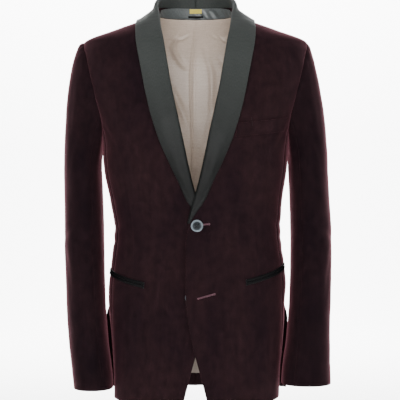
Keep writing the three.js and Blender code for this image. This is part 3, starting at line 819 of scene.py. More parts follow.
@dataclass
class Shell:
    """A thin closed cloth, from its upper grid of points and its lower one."""

    name: str
    upper: Grid  # points of the outer side, in millimetres
    lower: Grid  # points of the inner side
    closed: bool = False  # whether the grid's first and last columns meet, as on a tube

    def faces(self) -> Grid:
        """The squares of both sides and the rims, turned outwards.

        Returns:
            Four points' numbers for each square.
        """
        rows, columns = self.upper.shape[:2]
        index = np.arange(rows * columns).reshape(rows, columns)
        if self.closed:
            index = np.concatenate([index, index[:, :1]], axis=1)
        size = rows * columns
        a, b = index[:-1, :-1].ravel(), index[1:, :-1].ravel()
        c, d = index[1:, 1:].ravel(), index[:-1, 1:].ravel()
        outer = np.stack([a, b, c, d], axis=1)
        inner = np.stack([a, d, c, b], axis=1) + size
        rims = [self.rim(index[0, ::-1], size), self.rim(index[-1], size)]
        if not self.closed:
            rims += [self.rim(index[:, 0], size), self.rim(index[::-1, -1], size)]
        faces = np.concatenate([outer, inner, *rims])
        points = np.concatenate([self.upper.reshape(-1, 3), self.lower.reshape(-1, 3)])
        p, q, r, s = (points[faces[:, k]] for k in range(4))
        volume = np.einsum("ij,ij->i", p + r, np.cross(q - p, s - p)).sum()
        return faces if volume >= 0 else faces[:, ::-1]

    @staticmethod
    def rim(line: Grid, size: int) -> Grid:
        """The squares that close one edge."""
        return np.stack([line[:-1], line[:-1] + size, line[1:] + size, line[1:]], axis=1)

    def lengths(self) -> tuple[Grid, Grid]:
        """Distances along the cloth, across and down, for its texture.

        Returns:
            The distances across and those down.
        """
        across = np.linalg.norm(np.diff(self.upper, axis=1), axis=2)
        down = np.linalg.norm(np.diff(self.upper, axis=0), axis=2)
        u = np.concatenate([np.zeros((len(across), 1)), np.cumsum(across, axis=1)], axis=1)
        v = np.concatenate([np.zeros((1, down.shape[1])), np.cumsum(down, axis=0)])
        return u - u[:, -1:] / 2, np.repeat(v.mean(axis=1)[:, None], u.shape[1], axis=1)

    def flat(self) -> tuple[float, float, float]:
        """The cut's width, length and area in metres, as the outer side measures.

        Returns:
            The width, the length and the area.
        """
        u, _ = self.lengths()
        width = float(np.max(u[:, -1] - u[:, 0])) * MM
        down = np.linalg.norm(np.diff(self.upper, axis=0), axis=2).sum(axis=0)
        ring = np.concatenate([self.upper, self.upper[:, :1]], axis=1) if self.closed else self.upper
        if self.closed:
            width = float(np.linalg.norm(np.diff(ring, axis=1), axis=2).sum(axis=1).max()) * MM
        p, q, r, s = ring[:-1, :-1], ring[1:, :-1], ring[1:, 1:], ring[:-1, 1:]
        area = np.linalg.norm(np.cross(r - p, s - q), axis=2).sum() / 2 * MM * MM
        return width, float(down.max()) * MM, float(min(area, width * down.max() * MM))

    def build(self, finish: Finish) -> Piece:
        """Makes the piece's object.

        Args:
            finish: its material.

        Returns:
            The object, at the origin.
        """
        points = np.concatenate([self.upper.reshape(-1, 3), self.lower.reshape(-1, 3)]) * MM
        u, v = self.lengths()
        uv = np.stack([u.ravel(), v.ravel()], axis=1) * MM
        return make_object(f"{self.name}_worn", points, self.faces(), finish, np.concatenate([uv, uv]))


class Slot(Enum):
    """The material slots."""

    VELVET = "velvet"
    LAPEL = "lapel_satin"
    BLACK = "black_satin"
    LINING = "lining"
    LABEL = "label"
    BUTTON = "button"


def make_object(
    name: str, points: Grid, faces: Grid, finish: Finish, uv: Grid | None = None
) -> Piece:
    """Makes a smooth mesh object from points and squares.

    Args:
        name: the object's name.
        points: its points, in metres.
        faces: four point numbers for each square.
        finish: its material.
        uv: the texture's place at each point.

    Returns:
        The object, linked to the scene.
    """
    mesh = bpy.data.meshes.new(name)
    mesh.vertices.add(len(points))
    mesh.vertices.foreach_set("co", points.ravel())
    mesh.loops.add(faces.size)
    mesh.loops.foreach_set("vertex_index", faces.ravel().astype(np.int32))
    mesh.polygons.add(len(faces))
    mesh.polygons.foreach_set("loop_start", np.arange(0, faces.size, faces.shape[1], dtype=np.int32))
    mesh.polygons.foreach_set("use_smooth", np.ones(len(faces), bool))
    if uv is not None:
        layer = mesh.uv_layers.new(name="Cloth")
        layer.data.foreach_set("uv", uv[faces.ravel()].astype(np.float32).ravel())
    mesh.update(calc_edges=True)
    mesh.materials.append(finish)
    made = bpy.data.objects.new(name, mesh)
    bpy.context.scene.collection.objects.link(made)
    return made


def place_piece(piece: Piece, slot: Slot, nodes: Sequence[str] = ()) -> Piece:
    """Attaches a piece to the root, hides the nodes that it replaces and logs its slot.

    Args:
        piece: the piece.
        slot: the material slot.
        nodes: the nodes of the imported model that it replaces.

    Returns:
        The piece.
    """
    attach(piece, ROOT)
    if nodes:
        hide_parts(*nodes)
    LOG.info("%s: %d faces, %s", piece.name, len(piece.data.polygons), slot.value)
    return piece


def declare_sheet(piece: Piece, shell: Shell) -> None:
    """States the cut of a cloth that is worn, unless it is too narrow for a sheet.

    Args:
        piece: the cloth.
        shell: the shell that it was made from.
    """
    width, length, area = shell.flat()
    if min(width, length) < LEAST_SHEET:
        return
    area = max(area, LEAST_FILL * width * length)
    LOG.info("%s: cut %.3f x %.3f m, %.4f m2", piece.name, width, length, area)


class Shader:
    """A material's node tree, with short ways to add nodes."""

    def __init__(self, name: str) -> None:
        """Starts a material with its main shader.

        Args:
            name: the material's name.
        """
        self.material = bpy.data.materials.new(name)
        self.material.use_nodes = True
        self.tree = self.material.node_tree
        self.main = self.tree.nodes["Principled BSDF"]
        self.place = self.add("ShaderNodeTexCoord")

    def add(self, kind: str, **values: object) -> bpy.types.Node:
        """Adds a node.

        Args:
            kind: the node's type.
            values: its inputs' values and sockets, by their names with underscores for spaces.

        Returns:
            The node.
        """
        node = self.tree.nodes.new(kind)
        self.fill(node, values)
        return node

    def fill(self, node: bpy.types.Node, values: dict[str, object]) -> None:
        """Joins sockets to a node's inputs, and sets its other inputs' own values.

        Args:
            node: the node.
            values: its inputs' values and sockets.
        """
        for key, value in values.items():
            into = node.inputs[key.replace("_", " ")]
            if isinstance(value, Socket):
                self.tree.links.new(value, into)
            else:
                into.default_value = value

    def noise(self, source: str, stretch: Colour, scale: float, detail: float) -> Socket:
        """Soft noise over a piece.

        Args:
            source: Object or UV.
            stretch: how it is stretched along each axis.
            scale: how fine it is.
            detail: how many finer layers it has.

        Returns:
            The noise's socket.
        """
        place = self.add("ShaderNodeMapping", Scale=stretch, Vector=self.place.outputs[source])
        values = {"Scale": scale, "Detail": detail, "Roughness": 0.55, "Vector": place.outputs["Vector"]}
        return self.add("ShaderNodeTexNoise", **values).outputs["Fac"]

    def part(self, source: str, axis: str) -> Socket:
        """One axis of Object or UV."""
        return self.add("ShaderNodeSeparateXYZ", Vector=self.place.outputs[source]).outputs[axis]

    def ramp(self, value: Socket, low: float, high: float, dark: Colour, light: Colour) -> Socket:
        """Colours between two values of a texture.

        Args:
            value: the texture.
            low: the value of the first colour.
            high: the value of the last one.
            dark: the first colour.
            light: the last one.

        Returns:
            The colour's socket.
        """
        node = self.add("ShaderNodeValToRGB", Fac=value)
        first, last = node.color_ramp.elements
        first.position, last.position = low, high
        first.color, last.color = (*dark, 1), (*light, 1)
        return node.outputs["Color"]

    def greys(self, value: Socket, low: float, high: float, dark: float, light: float) -> Socket:
        """Greys between two values of a texture."""
        return self.ramp(value, low, high, (dark,) * 3, (light,) * 3)

    def times(self, first: Socket, *others: Socket) -> Socket:
        """Multiplies colours together.

        Args:
            first: a colour.
            others: the colours that it is multiplied by.

        Returns:
            The product's socket.
        """
        for other in others:
            node = self.tree.nodes.new("ShaderNodeMix")
            node.data_type, node.blend_type = "RGBA", "MULTIPLY"
            node.inputs[0].default_value = 1.0
            self.tree.links.new(first, node.inputs[6])
            self.tree.links.new(other, node.inputs[7])
            first = node.outputs[2]
        return first

    def bump(self, height: Socket, distance: float, strength: float, **before: Socket) -> Socket:
        """Relief from a texture."""
        values = {"Strength": strength, "Distance": distance, "Height": height, **before}
        return self.add("ShaderNodeBump", **values).outputs["Normal"]

    def settle(self, **values: object) -> Finish:
        """Fills the main shader's inputs and hands over the material."""
        self.fill(self.main, values)
        return self.material


@dataclass(frozen=True)
class Velvet:
    """Short pile, dark from the front and pale along the edges of the form."""

    name: str = "Velvet"
    dark: Colour = (0.0058, 0.0028, 0.0041)  # colour where the pile stands
    light: Colour = (0.0120, 0.0055, 0.0063)  # colour where it is brushed over
    rim: Colour = (0.74, 0.26, 0.33)  # tint of the sheen
    sheen: float = 0.26  # how strong the sheen is
    spread: float = 0.36  # how far the sheen reaches in from the edges

    def material(self) -> Finish:
        """Makes the finish.

        Returns:
            The finish.
        """
        shader = Shader(self.name)
        brushed = shader.noise("Object", (1.0, 1.0, 0.42), 16.0, 8.0)
        clouds = shader.noise("Object", (1.0, 1.0, 0.7), 90.0, 8.0)
        streaks = shader.noise("Object", (1.0, 1.0, 0.09), 150.0, 2.0)
        pile = shader.noise("Object", (1.0, 1.0, 0.6), 900.0, 1.0)
        patches = shader.ramp(brushed, 0.3, 0.72, self.dark, self.light)
        lines = shader.greys(streaks, 0.25, 0.8, 0.88, 1.1)
        mottle = shader.ramp(clouds, 0.3, 0.7, (0.70, 0.70, 0.73), (1.36, 1.28, 1.26))
        grain = shader.greys(pile, 0.2, 0.8, 0.78, 1.16)
        soft = shader.bump(clouds, 0.0006, 0.4)
        return shader.settle(
            Base_Color=shader.times(patches, lines, mottle, grain),
            Normal=shader.bump(pile, 0.0004, 0.5, Normal=soft),
            Roughness=0.95, Specular_IOR_Level=0.05, Sheen_Weight=self.sheen,
            Sheen_Roughness=self.spread, Sheen_Tint=(*self.rim, 1),
        )


@dataclass(frozen=True)
class Satin:
    """Smooth cloth with long floats and a soft gloss across them."""

    name: str
    dark: Colour  # colour in the weave's hollows
    light: Colour  # colour on its floats
    gloss: float = 0.42  # roughness of the surface
    level: float = 0.5  # strength of the reflection
    stretch: float = 0.45  # how strongly the gloss runs along one way
    slub: float = 0.0002  # height of the cloth's own unevenness, in metres
    # Painted shade: heights, in metres, between which the colour darkens towards the bottom, and the share of
    # it left below them.
    painted_shade: tuple[float, float, float] | None = None

    def material(self) -> Finish:
        """Makes the finish.

        Returns:
            The finish.
        """
        shader = Shader(self.name)
        floats = shader.noise("UV", (1.0, 0.16, 1.0), 1500.0, 1.0)
        threads = shader.noise("UV", (0.1, 1.0, 1.0), 420.0, 2.0)
        waves = shader.noise("Object", (1.0, 1.0, 1.0), 26.0, 2.0)
        colour = shader.ramp(floats, 0.25, 0.75, self.dark, self.light)
        colour = shader.times(colour, shader.greys(threads, 0.2, 0.8, 0.9, 1.08))
        # Painted shade: below the given heights the colour is darkened to the share left.
        if self.painted_shade:
            low, high, left = self.painted_shade
            values = {"Value": shader.part("Object", "Z"), "From Min": low, "From Max": high}
            reach = shader.add("ShaderNodeMapRange", **values)
            colour = shader.times(colour, shader.greys(reach.outputs["Result"], 0.0, 1.0, left, 1.0))
        soft = shader.bump(waves, self.slub * 4, 0.5)
        return shader.settle(
            Base_Color=colour, Normal=shader.bump(floats, self.slub / 2, 0.35, Normal=soft),
            Roughness=self.gloss, Specular_IOR_Level=self.level, Anisotropic=self.stretch,
        )


@dataclass(frozen=True)
class Plain:
    """One even colour, for thread and the small parts."""

    name: str
    colour: Colour
    roughness: float = 0.6  # how matt it is
    level: float = 0.5  # strength of the reflection
    grain: float = 0.0  # height of its fine grain, in metres
    scale: float = 900.0  # how fine the grain is

    def material(self) -> Finish:
        """Makes the finish.

        Returns:
            The finish.
        """
        shader = Shader(self.name)
        cloud = shader.noise("Object", (1.0, 1.0, 1.0), self.scale, 2.0)
        dark = tuple(0.8 * part for part in self.colour)
        light = tuple(1.2 * part for part in self.colour)
        relief = {"Normal": shader.bump(cloud, self.grain, 0.5)} if self.grain else {}
        return shader.settle(
            Base_Color=shader.ramp(cloud, 0.3, 0.7, dark, light), **relief,
            Roughness=self.roughness, Specular_IOR_Level=self.level,
        )


@dataclass(frozen=True)
class Horn:
    """Polished horn, dark in the dish, with a painted highlight in a pale colour round the rim."""

    name: str = "Horn"
    dish: Colour = (0.004, 0.006, 0.008)  # colour inside the rim
    # The rim's pale colour is a painted highlight: the reflection on the polished rim.
    rim: Colour = (0.125, 0.15, 0.168)  # colour of the rim
    starts: float = 0.0098  # distance over the face, out from its middle, at which the rim's colour starts
    full: float = 0.0111  # distance at which it is full. Both are in metres

    def material(self) -> Finish:
        """Makes the finish.

        Returns:
            The finish.
        """
        shader = Shader(self.name)
        colour = shader.ramp(shader.part("UV", "Y"), self.starts, self.full, self.dish, self.rim)
        return shader.settle(
            Base_Color=colour, Roughness=0.46, Specular_IOR_Level=0.08, Coat_Weight=0.02, Coat_Roughness=0.12,
        )


class Wardrobe:
    """Every finish, made once."""

    def __init__(self) -> None:
        """Makes the finishes. The sleeves' velvet is a darker copy of the velvet, painted shade, and a slit's
        black inside is a painted shadow.
        """
        self.velvet = Velvet().material()
        # The sleeves' velvet is a darker copy of the velvet: painted shade.
        self.sleeve = Velvet("Shaded sleeve velvet", (0.0042, 0.0021, 0.0032), (0.0090, 0.0042, 0.0051)).material()
        # The lapel's colour darkens towards the bottom: painted shade for the light that falls from above.
        self.lapel = Satin(
            "Lapel satin", (0.0165, 0.0187, 0.0176), (0.030, 0.0336, 0.0315), 0.5, 0.1, 0.3, 0.00008,
            (-0.285, -0.08, 0.13),
        ).material()
        black = Satin("Black satin", (0.0008, 0.0008, 0.001), (0.0022, 0.0024, 0.0026), 0.5, 0.08)
        self.black = black.material()
        # The neck band is the black satin in a far lighter colour: painted light where light catches the band
        # inside the neck.
        self.band = Satin("Lit band satin", (0.040, 0.045, 0.045), (0.082, 0.092, 0.092), 0.38, 0.5).material()
        # The lining's colour darkens at its bottom: painted shade where it shows between the fronts at the
        # hem.
        self.lining = Satin(
            "Lining satin", (0.385, 0.305, 0.245), (0.50, 0.405, 0.33), 0.38, 0.36, 0.3, 0.0005,
            (-0.66, -0.60, 0.3),
        ).material()
        self.label = Plain("Label weave", (0.46, 0.38, 0.07), 0.8, 0.2, 0.0002, 1600.0).material()
        self.button = Horn().material()
        self.thread = Plain("Black thread", (0.006, 0.006, 0.008), 0.55).material()
        self.silk = Plain("Buttonhole twist", (0.072, 0.022, 0.034), 0.55).material()
        self.shadow = Plain("Slit shadow", (0.0015, 0.001, 0.001), 0.95, 0.05).material()


def edge_distances(points: Grid) -> tuple[Grid, Grid, Grid, Grid]:
    """Distances of a grid's points from its left, right, top and bottom sides.

    Args:
        points: the grid's points.

    Returns:
        The distances, in that order.
    """
    across = np.linalg.norm(np.diff(points, axis=1), axis=2)
    down = np.linalg.norm(np.diff(points, axis=0), axis=2)
    left = np.concatenate([np.zeros((len(across), 1)), np.cumsum(across, axis=1)], axis=1)
    top = np.concatenate([np.zeros((1, down.shape[1])), np.cumsum(down, axis=0)])
    return left, left[:, -1:] - left, top, top[-1:] - top


def rounding(sides: Sequence[Grid], thick: float) -> Grid:
    """How far a cloth's outer side curls in near its free edges.

    Args:
        sides: distances from the free edges.
        thick: the cloth's thickness.

    Returns:
        The distance that each point moves in.
    """
    radius = 0.46 * thick
    inside = np.clip(radius - np.minimum.reduce(list(sides)), 0, radius)
    return radius - np.sqrt(radius**2 - inside**2)


def grid_normals(points: Grid) -> Grid:
    """The direction out of a grid, seen with its rows running down.

    Args:
        points: the grid's points.

    Returns:
        Directions of length 1.
    """
    down = np.gradient(points, axis=0)
    across = np.gradient(points, axis=1)
    return unit(np.cross(down, across))


@dataclass(frozen=True)
class SeamStyle:
    """How the cloth dips and puckers along a seam."""

    dip: float = 0.75  # depth of the narrow valley
    bed: float = 0.35  # depth of the wide hollow round it
    pucker: float = 0.16  # height of the small gathers
    pitch: float = 11.0  # length of the shortest gather
    seed: int = 2

    def height(self, distance: Grid, along: Grid) -> Grid:
        """The cloth's height near the seam.

        Args:
            distance: distance from the seam.
            along: distance down it.

        Returns:
            The height, below zero in the seam.
        """
        gathers = Waves(self.seed, self.pitch, self.pitch * 2.6, 9)(along, 0.35 * distance)
        reach = bell(distance - 3.5, 6.0) * (1 - bell(distance, 1.0))
        return self.pucker * gathers * reach - self.dip * bell(distance, 1.5) - self.bed * bell(distance, 6.0)


SIDE_SEAM = SeamStyle()
ARMHOLE_SEAM = SeamStyle(0.55, 0.5, 0.3, 13.0, 5)
SLEEVE_SEAM = SeamStyle(0.7, 0.3, 0.2, 14.0, 8)
HEM_TURN_UP = 38.0
NO_END = -9999.0

# A sheet's least width, in metres, and the least share of its box that its cut fills.
LEAST_SHEET = 0.01
LEAST_FILL = 0.31

# Short lines where the fronts are taken in at the waist and where the welt is sewn in.
DARTS = table(
    Crease,
    (((18.8, -227.2), (40, -221.2), (60.2, -214.6)), 2.2, 1.5, 0.0),
    (((18.6, -200.6), (40, -194.6), (60.4, -188.4)), 1.8, 1.1, 0.3),
    (((39.5, -366), (40, -422), (38, -482)), 1.7, 0.9, 0.0),
    (((-46.5, -332), (-47, -398), (-43.5, -474)), 1.7, 0.9, 0.0),
    (((38.5, -350), (40, -420), (38, -492)), 8.0, 0.7, 0.2),
    (((-45.5, -318), (-47, -398), (-43.5, -486)), 8.0, 0.7, 0.2),
)

# Creases of the back lining, left slack behind the neck.
LINING_CREASES = table(
    Crease,
    (((-178.9, 10), (-179.0, -60), (-178.9, -180), (-178.7, -400), (-178.9, -650)), 0.9, 2.6, 0.9),
    (((-166, -14), (-170, -40), (-177.0, -78)), 3.0, 6.0, 0.8),
    (((-158, -30), (-163, -64), (-171, -104)), 4.0, 4.6, 0.7),
    (((-176, -14), (-170, -22), (-161, -18)), 2.4, 3.2, 0.8),
    (((-168, -96), (-173, -136), (-177, -192)), 4.0, 3.4, 0.6),
    (((-152, -70), (-156, -112), (-164, -160)), 5.4, 3.6, 0.6),
    (((-163, -150), (-167, -212), (-172, -300)), 4.6, 3.0, 0.5),
    (((163, -18), (160, -46), (157, -92)), 3.0, 5.2, 0.8),
    (((169, -16), (163, -24), (155, -18)), 2.4, 3.0, 0.8),
    (((171, -58), (167, -98), (159, -144)), 4.2, 3.6, 0.6),
    (((153, -44), (150, -76), (152, -116)), 4.4, 3.6, 0.7),
    (((174, -150), (169, -206), (164, -270)), 4.6, 3.0, 0.5),
    (((177, -30), (175, -120), (176, -240)), 3.4, 2.4, 0.5),
    (((150, -380), (161, -392), (174, -386)), 5.4, 2.2, 0.6),
    (((-148, -388), (-160, -399), (-173, -392)), 5.4, 2.2, 0.6),
)


@dataclass
class Panel:
    """One panel that is cut from the body form."""

    name: str
    form: BodyForm
    place: Place  # where its shares lie
    weave: Weave
    seams: Edges  # which sides are sewn to a neighbour
    seam_end: tuple[float, float] = (NO_END, NO_END)  # height below which the left and right seams lie open
    creases: tuple[Crease, ...] = ()  # creases besides the form's own
    worn: bool = True  # whether the form's creases show in it

    def detail(self, turn: Grid, z: Grid, sides: tuple[Grid, Grid, Grid, Grid]) -> Grid:
        """Height of the creases, seams and hem in the panel.

        Args:
            turn: angle round the form.
            z: height.
            sides: distances from the panel's sides.

        Returns:
            The height at each point.
        """
        left, right, top, bottom = sides
        total = self.form.creasing(turn, z) if self.worn else 0.12 * Waves(9, 24, 70)(turn * 2.4, z)
        for crease in self.creases:
            total = total + crease.height(turn, z, 2.5)
        total = total if self.worn else np.minimum(total, 0.2 * total)
        hole = bell(np.maximum(0, np.abs(z + 136) - 70), 30.0)
        for sewn, distance, end in (
            (self.seams.left, left, self.seam_end[0]), (self.seams.right, right, self.seam_end[1]),
        ):
            if sewn:
                shut = smooth(end - 12, end + 12, z)
                seam = mix(SIDE_SEAM.height(distance, top), ARMHOLE_SEAM.height(distance, top), hole)
                total = total + seam * shut
        if self.seams.top:
            total = total + SIDE_SEAM.height(top, left)
        if self.worn and not self.seams.bottom:
            total = total - 0.28 * bell(bottom - HEM_TURN_UP, 2.4) + 0.25 * smooth(HEM_TURN_UP, 30, bottom)
            total = total + 0.5 * Waves(17, 60, 150, 8)(turn * 2.4, 0) * smooth(60, 0, bottom)
        return total

    def shell(self) -> Shell:
        """Makes the panel's shell.

        Returns:
            The shell.
        """
        u, v = self.weave.grid()
        turn, z, out = self.place(u, v)
        sides = edge_distances(self.form.point(turn, z))
        out = out + self.detail(turn, z, sides)
        ends = (*self.seam_end, NO_END, NO_END)
        free = [
            np.where(z > end, 99.0, distance) if sewn else distance
            for sewn, distance, end in zip(self.seams, sides, ends)
        ]
        curl = rounding(free, self.weave.thick)
        upper = self.form.cloth(turn, z, out - curl)
        lower = self.form.cloth(turn, z, out - self.weave.thick + curl)
        return Shell(self.name, upper, lower)


class SleeveRow(NamedTuple):
    """A sleeve's section: its outer and inner sides, and its middle and half depth."""

    z: float
    outer: float
    inner: float
    middle: float
    deep: float


SLEEVE_RIGHT = table(
    SleeveRow,
    (-285, 249.1, 178.2, 0, 64),
    (-342, 248.6, 175.4, -1, 62),
    (-418, 247.4, 173.2, -6, 59),
    (-531, 242.8, 169.6, -18, 56),
    (-596, 237.8, 164.6, -28, 54),
    (-672, 229.0, 155.0, -39, 53),
    (-691, 226.2, 153.8, -42, 52),
)
SLEEVE_LEFT = table(
    SleeveRow,
    (-285, 250.6, 175.8, 0, 64),
    (-342, 253.8, 178.4, -1, 62),
    (-418, 257.2, 179.8, -6, 59),
    (-531, 254.4, 176.4, -18, 56),
    (-593, 251.6, 171.2, -28, 54),
    (-664, 251.9, 161.6, -38, 53),
    (-683, 252.0, 160.6, -41, 52),
)
SLEEVE_FOLDS = table(
    Fold,
    (78, -212, 52, 9, 74, -2.4),
    (62, -392, 46, 10, 24, -2.2),
    (96, -436, 44, 9, -18, -2.4),
    (286, -410, 40, 10, -22, -2.0),
    (252, -462, 42, 10, 16, -2.2),
    (276, -220, 50, 10, -70, -2.2),
)

# Angle round the sleeve and height of its creases, from the outer side through the front.
SLEEVE_CREASES = table(
    Crease,
    (((126, -128), (132, -208), (128, -300)), 9.0, 1.7),
    (((108, -150), (114, -220), (112, -276)), 7.0, 1.0),
    (((46, -118), (52, -180), (60, -240)), 10.0, 0.8),
    (((74, -366), (98, -382), (126, -374)), 6.5, 1.4),
    (((62, -402), (94, -414), (130, -402)), 7.0, 1.7),
    (((82, -452), (106, -460), (134, -450)), 6.5, 1.2),
    (((30, -430), (44, -470), (52, -520)), 9.0, 0.9),
    (((96, -512), (112, -552), (118, -600)), 9.0, 1.0),
    (((58, -590), (74, -632), (80, -676)), 9.0, 0.8),
    (((232, -128), (226, -206), (232, -292)), 9.0, 1.8),
    (((268, -138), (262, -200), (258, -258)), 10.0, 1.1),
    (((244, -376), (268, -388), (296, -380)), 6.5, 1.5),
    (((236, -410), (262, -424), (292, -414)), 7.0, 1.8),
    (((248, -438), (270, -450), (292, -446)), 6.0, 1.2),
    (((300, -470), (312, -520), (318, -570)), 10.0, 0.9),
    (((256, -560), (262, -610), (258, -664)), 10.0, 1.0),
)


@dataclass
class Sleeve:
    """One sleeve, a head over the armhole and an arm below it."""

    side: Side
    form: BodyForm
    armhole: Armhole
    rows: tuple[SleeveRow, ...]
    reach: float  # how far the head runs out before it turns down
    part: float = 0.42  # the head's share of the rows
    thick: float = 1.8
    front_seam: float = 122.0  # angle of the front seam
    back_seam: float = 244.0  # angle of the back seam

    def __post_init__(self) -> None:
        """Makes a curve of each column."""
        self.outer, self.inner, self.middle, self.deep = curves(self.rows, "outer", "inner", "middle", "deep")

    def section(self, angle: Grid, z: Grid) -> Grid:
        """Points of the arm below the armhole.

        Args:
            angle: angles around the arm.
            z: heights.

        Returns:
            The points.
        """
        power = 2 / 2.25
        half = (self.outer(z) - self.inner(z)) / 2
        x = (self.outer(z) + self.inner(z)) / 2 + half * swell(np.cos(angle), power)
        y = self.middle(z) - self.deep(z) * swell(np.sin(angle), power)
        return np.stack([x * self.side.value, y, z + 0 * x], axis=-1)

    def points(self, degrees: Grid, share: Grid) -> Grid:
        """Points of the sleeve, over the head and then down the arm.

        Args:
            degrees: angle from the outer side through the front.
            share: share of the way from the armhole to the cuff.

        Returns:
            The points of the smooth sleeve.
        """
        degrees, share = np.broadcast_arrays(degrees, share)
        angle = np.radians(degrees % 360)
        top, cuff = self.rows[0].z, self.rows[-1].z
        down = np.clip((share - self.part) / (1 - self.part), 0, 1)
        arm = self.section(angle, mix(top, cuff, down))
        ahead = angle < np.pi
        from_top = np.where(ahead, angle, math.tau - angle)
        outward = (1 + np.cos(from_top)) / 2
        turn = self.armhole.turn(from_top, ahead)
        turn = (turn + 0.6 * np.sin(from_top) * np.where(ahead, -1, 1)) * self.side.value
        start = self.form.cloth(turn, self.armhole.height(from_top) + 1.6 * np.cos(from_top), -1.6)
        out = np.array([self.side.value, 0.0, 0.0])
        up = np.array([0.0, 0.0, 1.0])
        first = start + out * mix(1.2, self.reach, outward)[..., None]
        first = first + up * mix(-16.0, 3.5, outward)[..., None]
        end = self.section(angle, np.full(angle.shape, float(top)))
        third = end + up * mix(18.0, 112.0, outward)[..., None]
        t = np.clip(share / self.part, 0, 1)[..., None]
        head = start * (1 - t) ** 3 + 3 * first * t * (1 - t) ** 2 + 3 * third * t**2 * (1 - t) + end * t**3
        return np.where((share >= self.part)[..., None], arm, head)

    def relief(self, degrees: Grid, z: Grid, from_head: Grid, sides: tuple[Grid, ...]) -> Grid:
        """Height of the sleeve's folds, creases, gathers and seams.

        Args:
            degrees: angle round the sleeve.
            z: height.
            from_head: distance from the armhole seam.
            sides: distances from the left and right seams and the cuff.

        Returns:
            The height at each point.
        """
        folds = np.zeros(degrees.shape)
        for fold in SLEEVE_FOLDS:
            across = ((degrees - fold.turn + 540) % 360) - 180
            folds += fold.height(across * 0.95, z - fold.z)
        for crease in SLEEVE_CREASES:
            lean = 9 if self.side is Side.LEFT else 0
            folds += crease.height(degrees, z + lean, 0.95)
        folds *= smooth(2, 50, from_head)
        seed = 21 if self.side is Side.LEFT else 27
        folds += 0.25 * Waves(seed, 30, 110)(degrees * 0.95, z)
        gathers = Waves(seed + 1, 9, 22, 12)(degrees * 1.9, 0 * z)
        eased = smooth(150, 60, np.abs((degrees + 180) % 360 - 180))
        folds += 0.42 * gathers * eased * bell(from_head - 9, 9.0) + 0.9 * eased * bell(from_head - 10, 8.0)
        folds -= 0.55 * bell(from_head, 1.8)
        left, right, cuff = sides
        for distance in (left, right):
            folds += SLEEVE_SEAM.height(distance, from_head)
        return folds + 0.22 * smooth(HEM_TURN_UP, 32, cuff) - 0.2 * bell(cuff - HEM_TURN_UP, 2.0)

    def shell(self, name: str, start: float, stop: float, weave: Weave) -> Shell:
        """Makes one of the sleeve's two panels.

        Args:
            name: the panel's node.
            start: angle of its first seam.
            stop: angle of its second one.
            weave: its grid.

        Returns:
            The shell.
        """
        u, v = weave.grid()
        degrees = mix(start - 0.25, stop + 0.25, u)
        base = self.points(degrees, v)
        normal = grid_normals(base) * self.side.value
        if np.einsum("k,k", normal[len(base) // 2, base.shape[1] // 2], self.away(base)) < 0:
            normal = -normal
        left, right, top, bottom = edge_distances(base)
        height = self.relief(degrees, base[..., 2], top, (left, right, bottom))
        curl = rounding([bottom], weave.thick)
        upper = base + normal * (height - curl)[..., None]
        lower = base + normal * (height - weave.thick + curl)[..., None]
        return Shell(name, upper, lower)

    def away(self, base: Grid) -> Grid:
        """The way from the arm's middle line to the middle of a panel.

        Args:
            base: the panel's points.

        Returns:
            The direction, not brought to length 1.
        """
        point = base[len(base) // 2, base.shape[1] // 2]
        z = point[2]
        middle = np.array([(self.outer(z) + self.inner(z)) / 2 * self.side.value, self.middle(z), z])
        return point - middle


def catmull(grid: Grid, share: Grid) -> Grid:
    """Smooth points through the rows of a grid.

    Args:
        grid: rows of points.
        share: places counted in rows.

    Returns:
        A row of points for each place.
    """
    last = len(grid) - 1
    i = np.clip(np.floor(share).astype(int), 0, last - 1)
    t = (share - i).reshape(-1, *([1] * (grid.ndim - 1)))
    first, second = grid[i], grid[i + 1]
    before = np.where((i > 0).reshape(t.shape), grid[np.maximum(i - 1, 0)], 2 * first - second)
    after = np.where((i + 2 <= last).reshape(t.shape), grid[np.minimum(i + 2, last)], 2 * second - first)
    m0, m1 = (second - before) / 2, (after - first) / 2
    return (first * (2 * t**3 - 3 * t**2 + 1) + m0 * (t**3 - 2 * t**2 + t)
            + second * (3 * t**2 - 2 * t**3) + m1 * (t**3 - t**2))


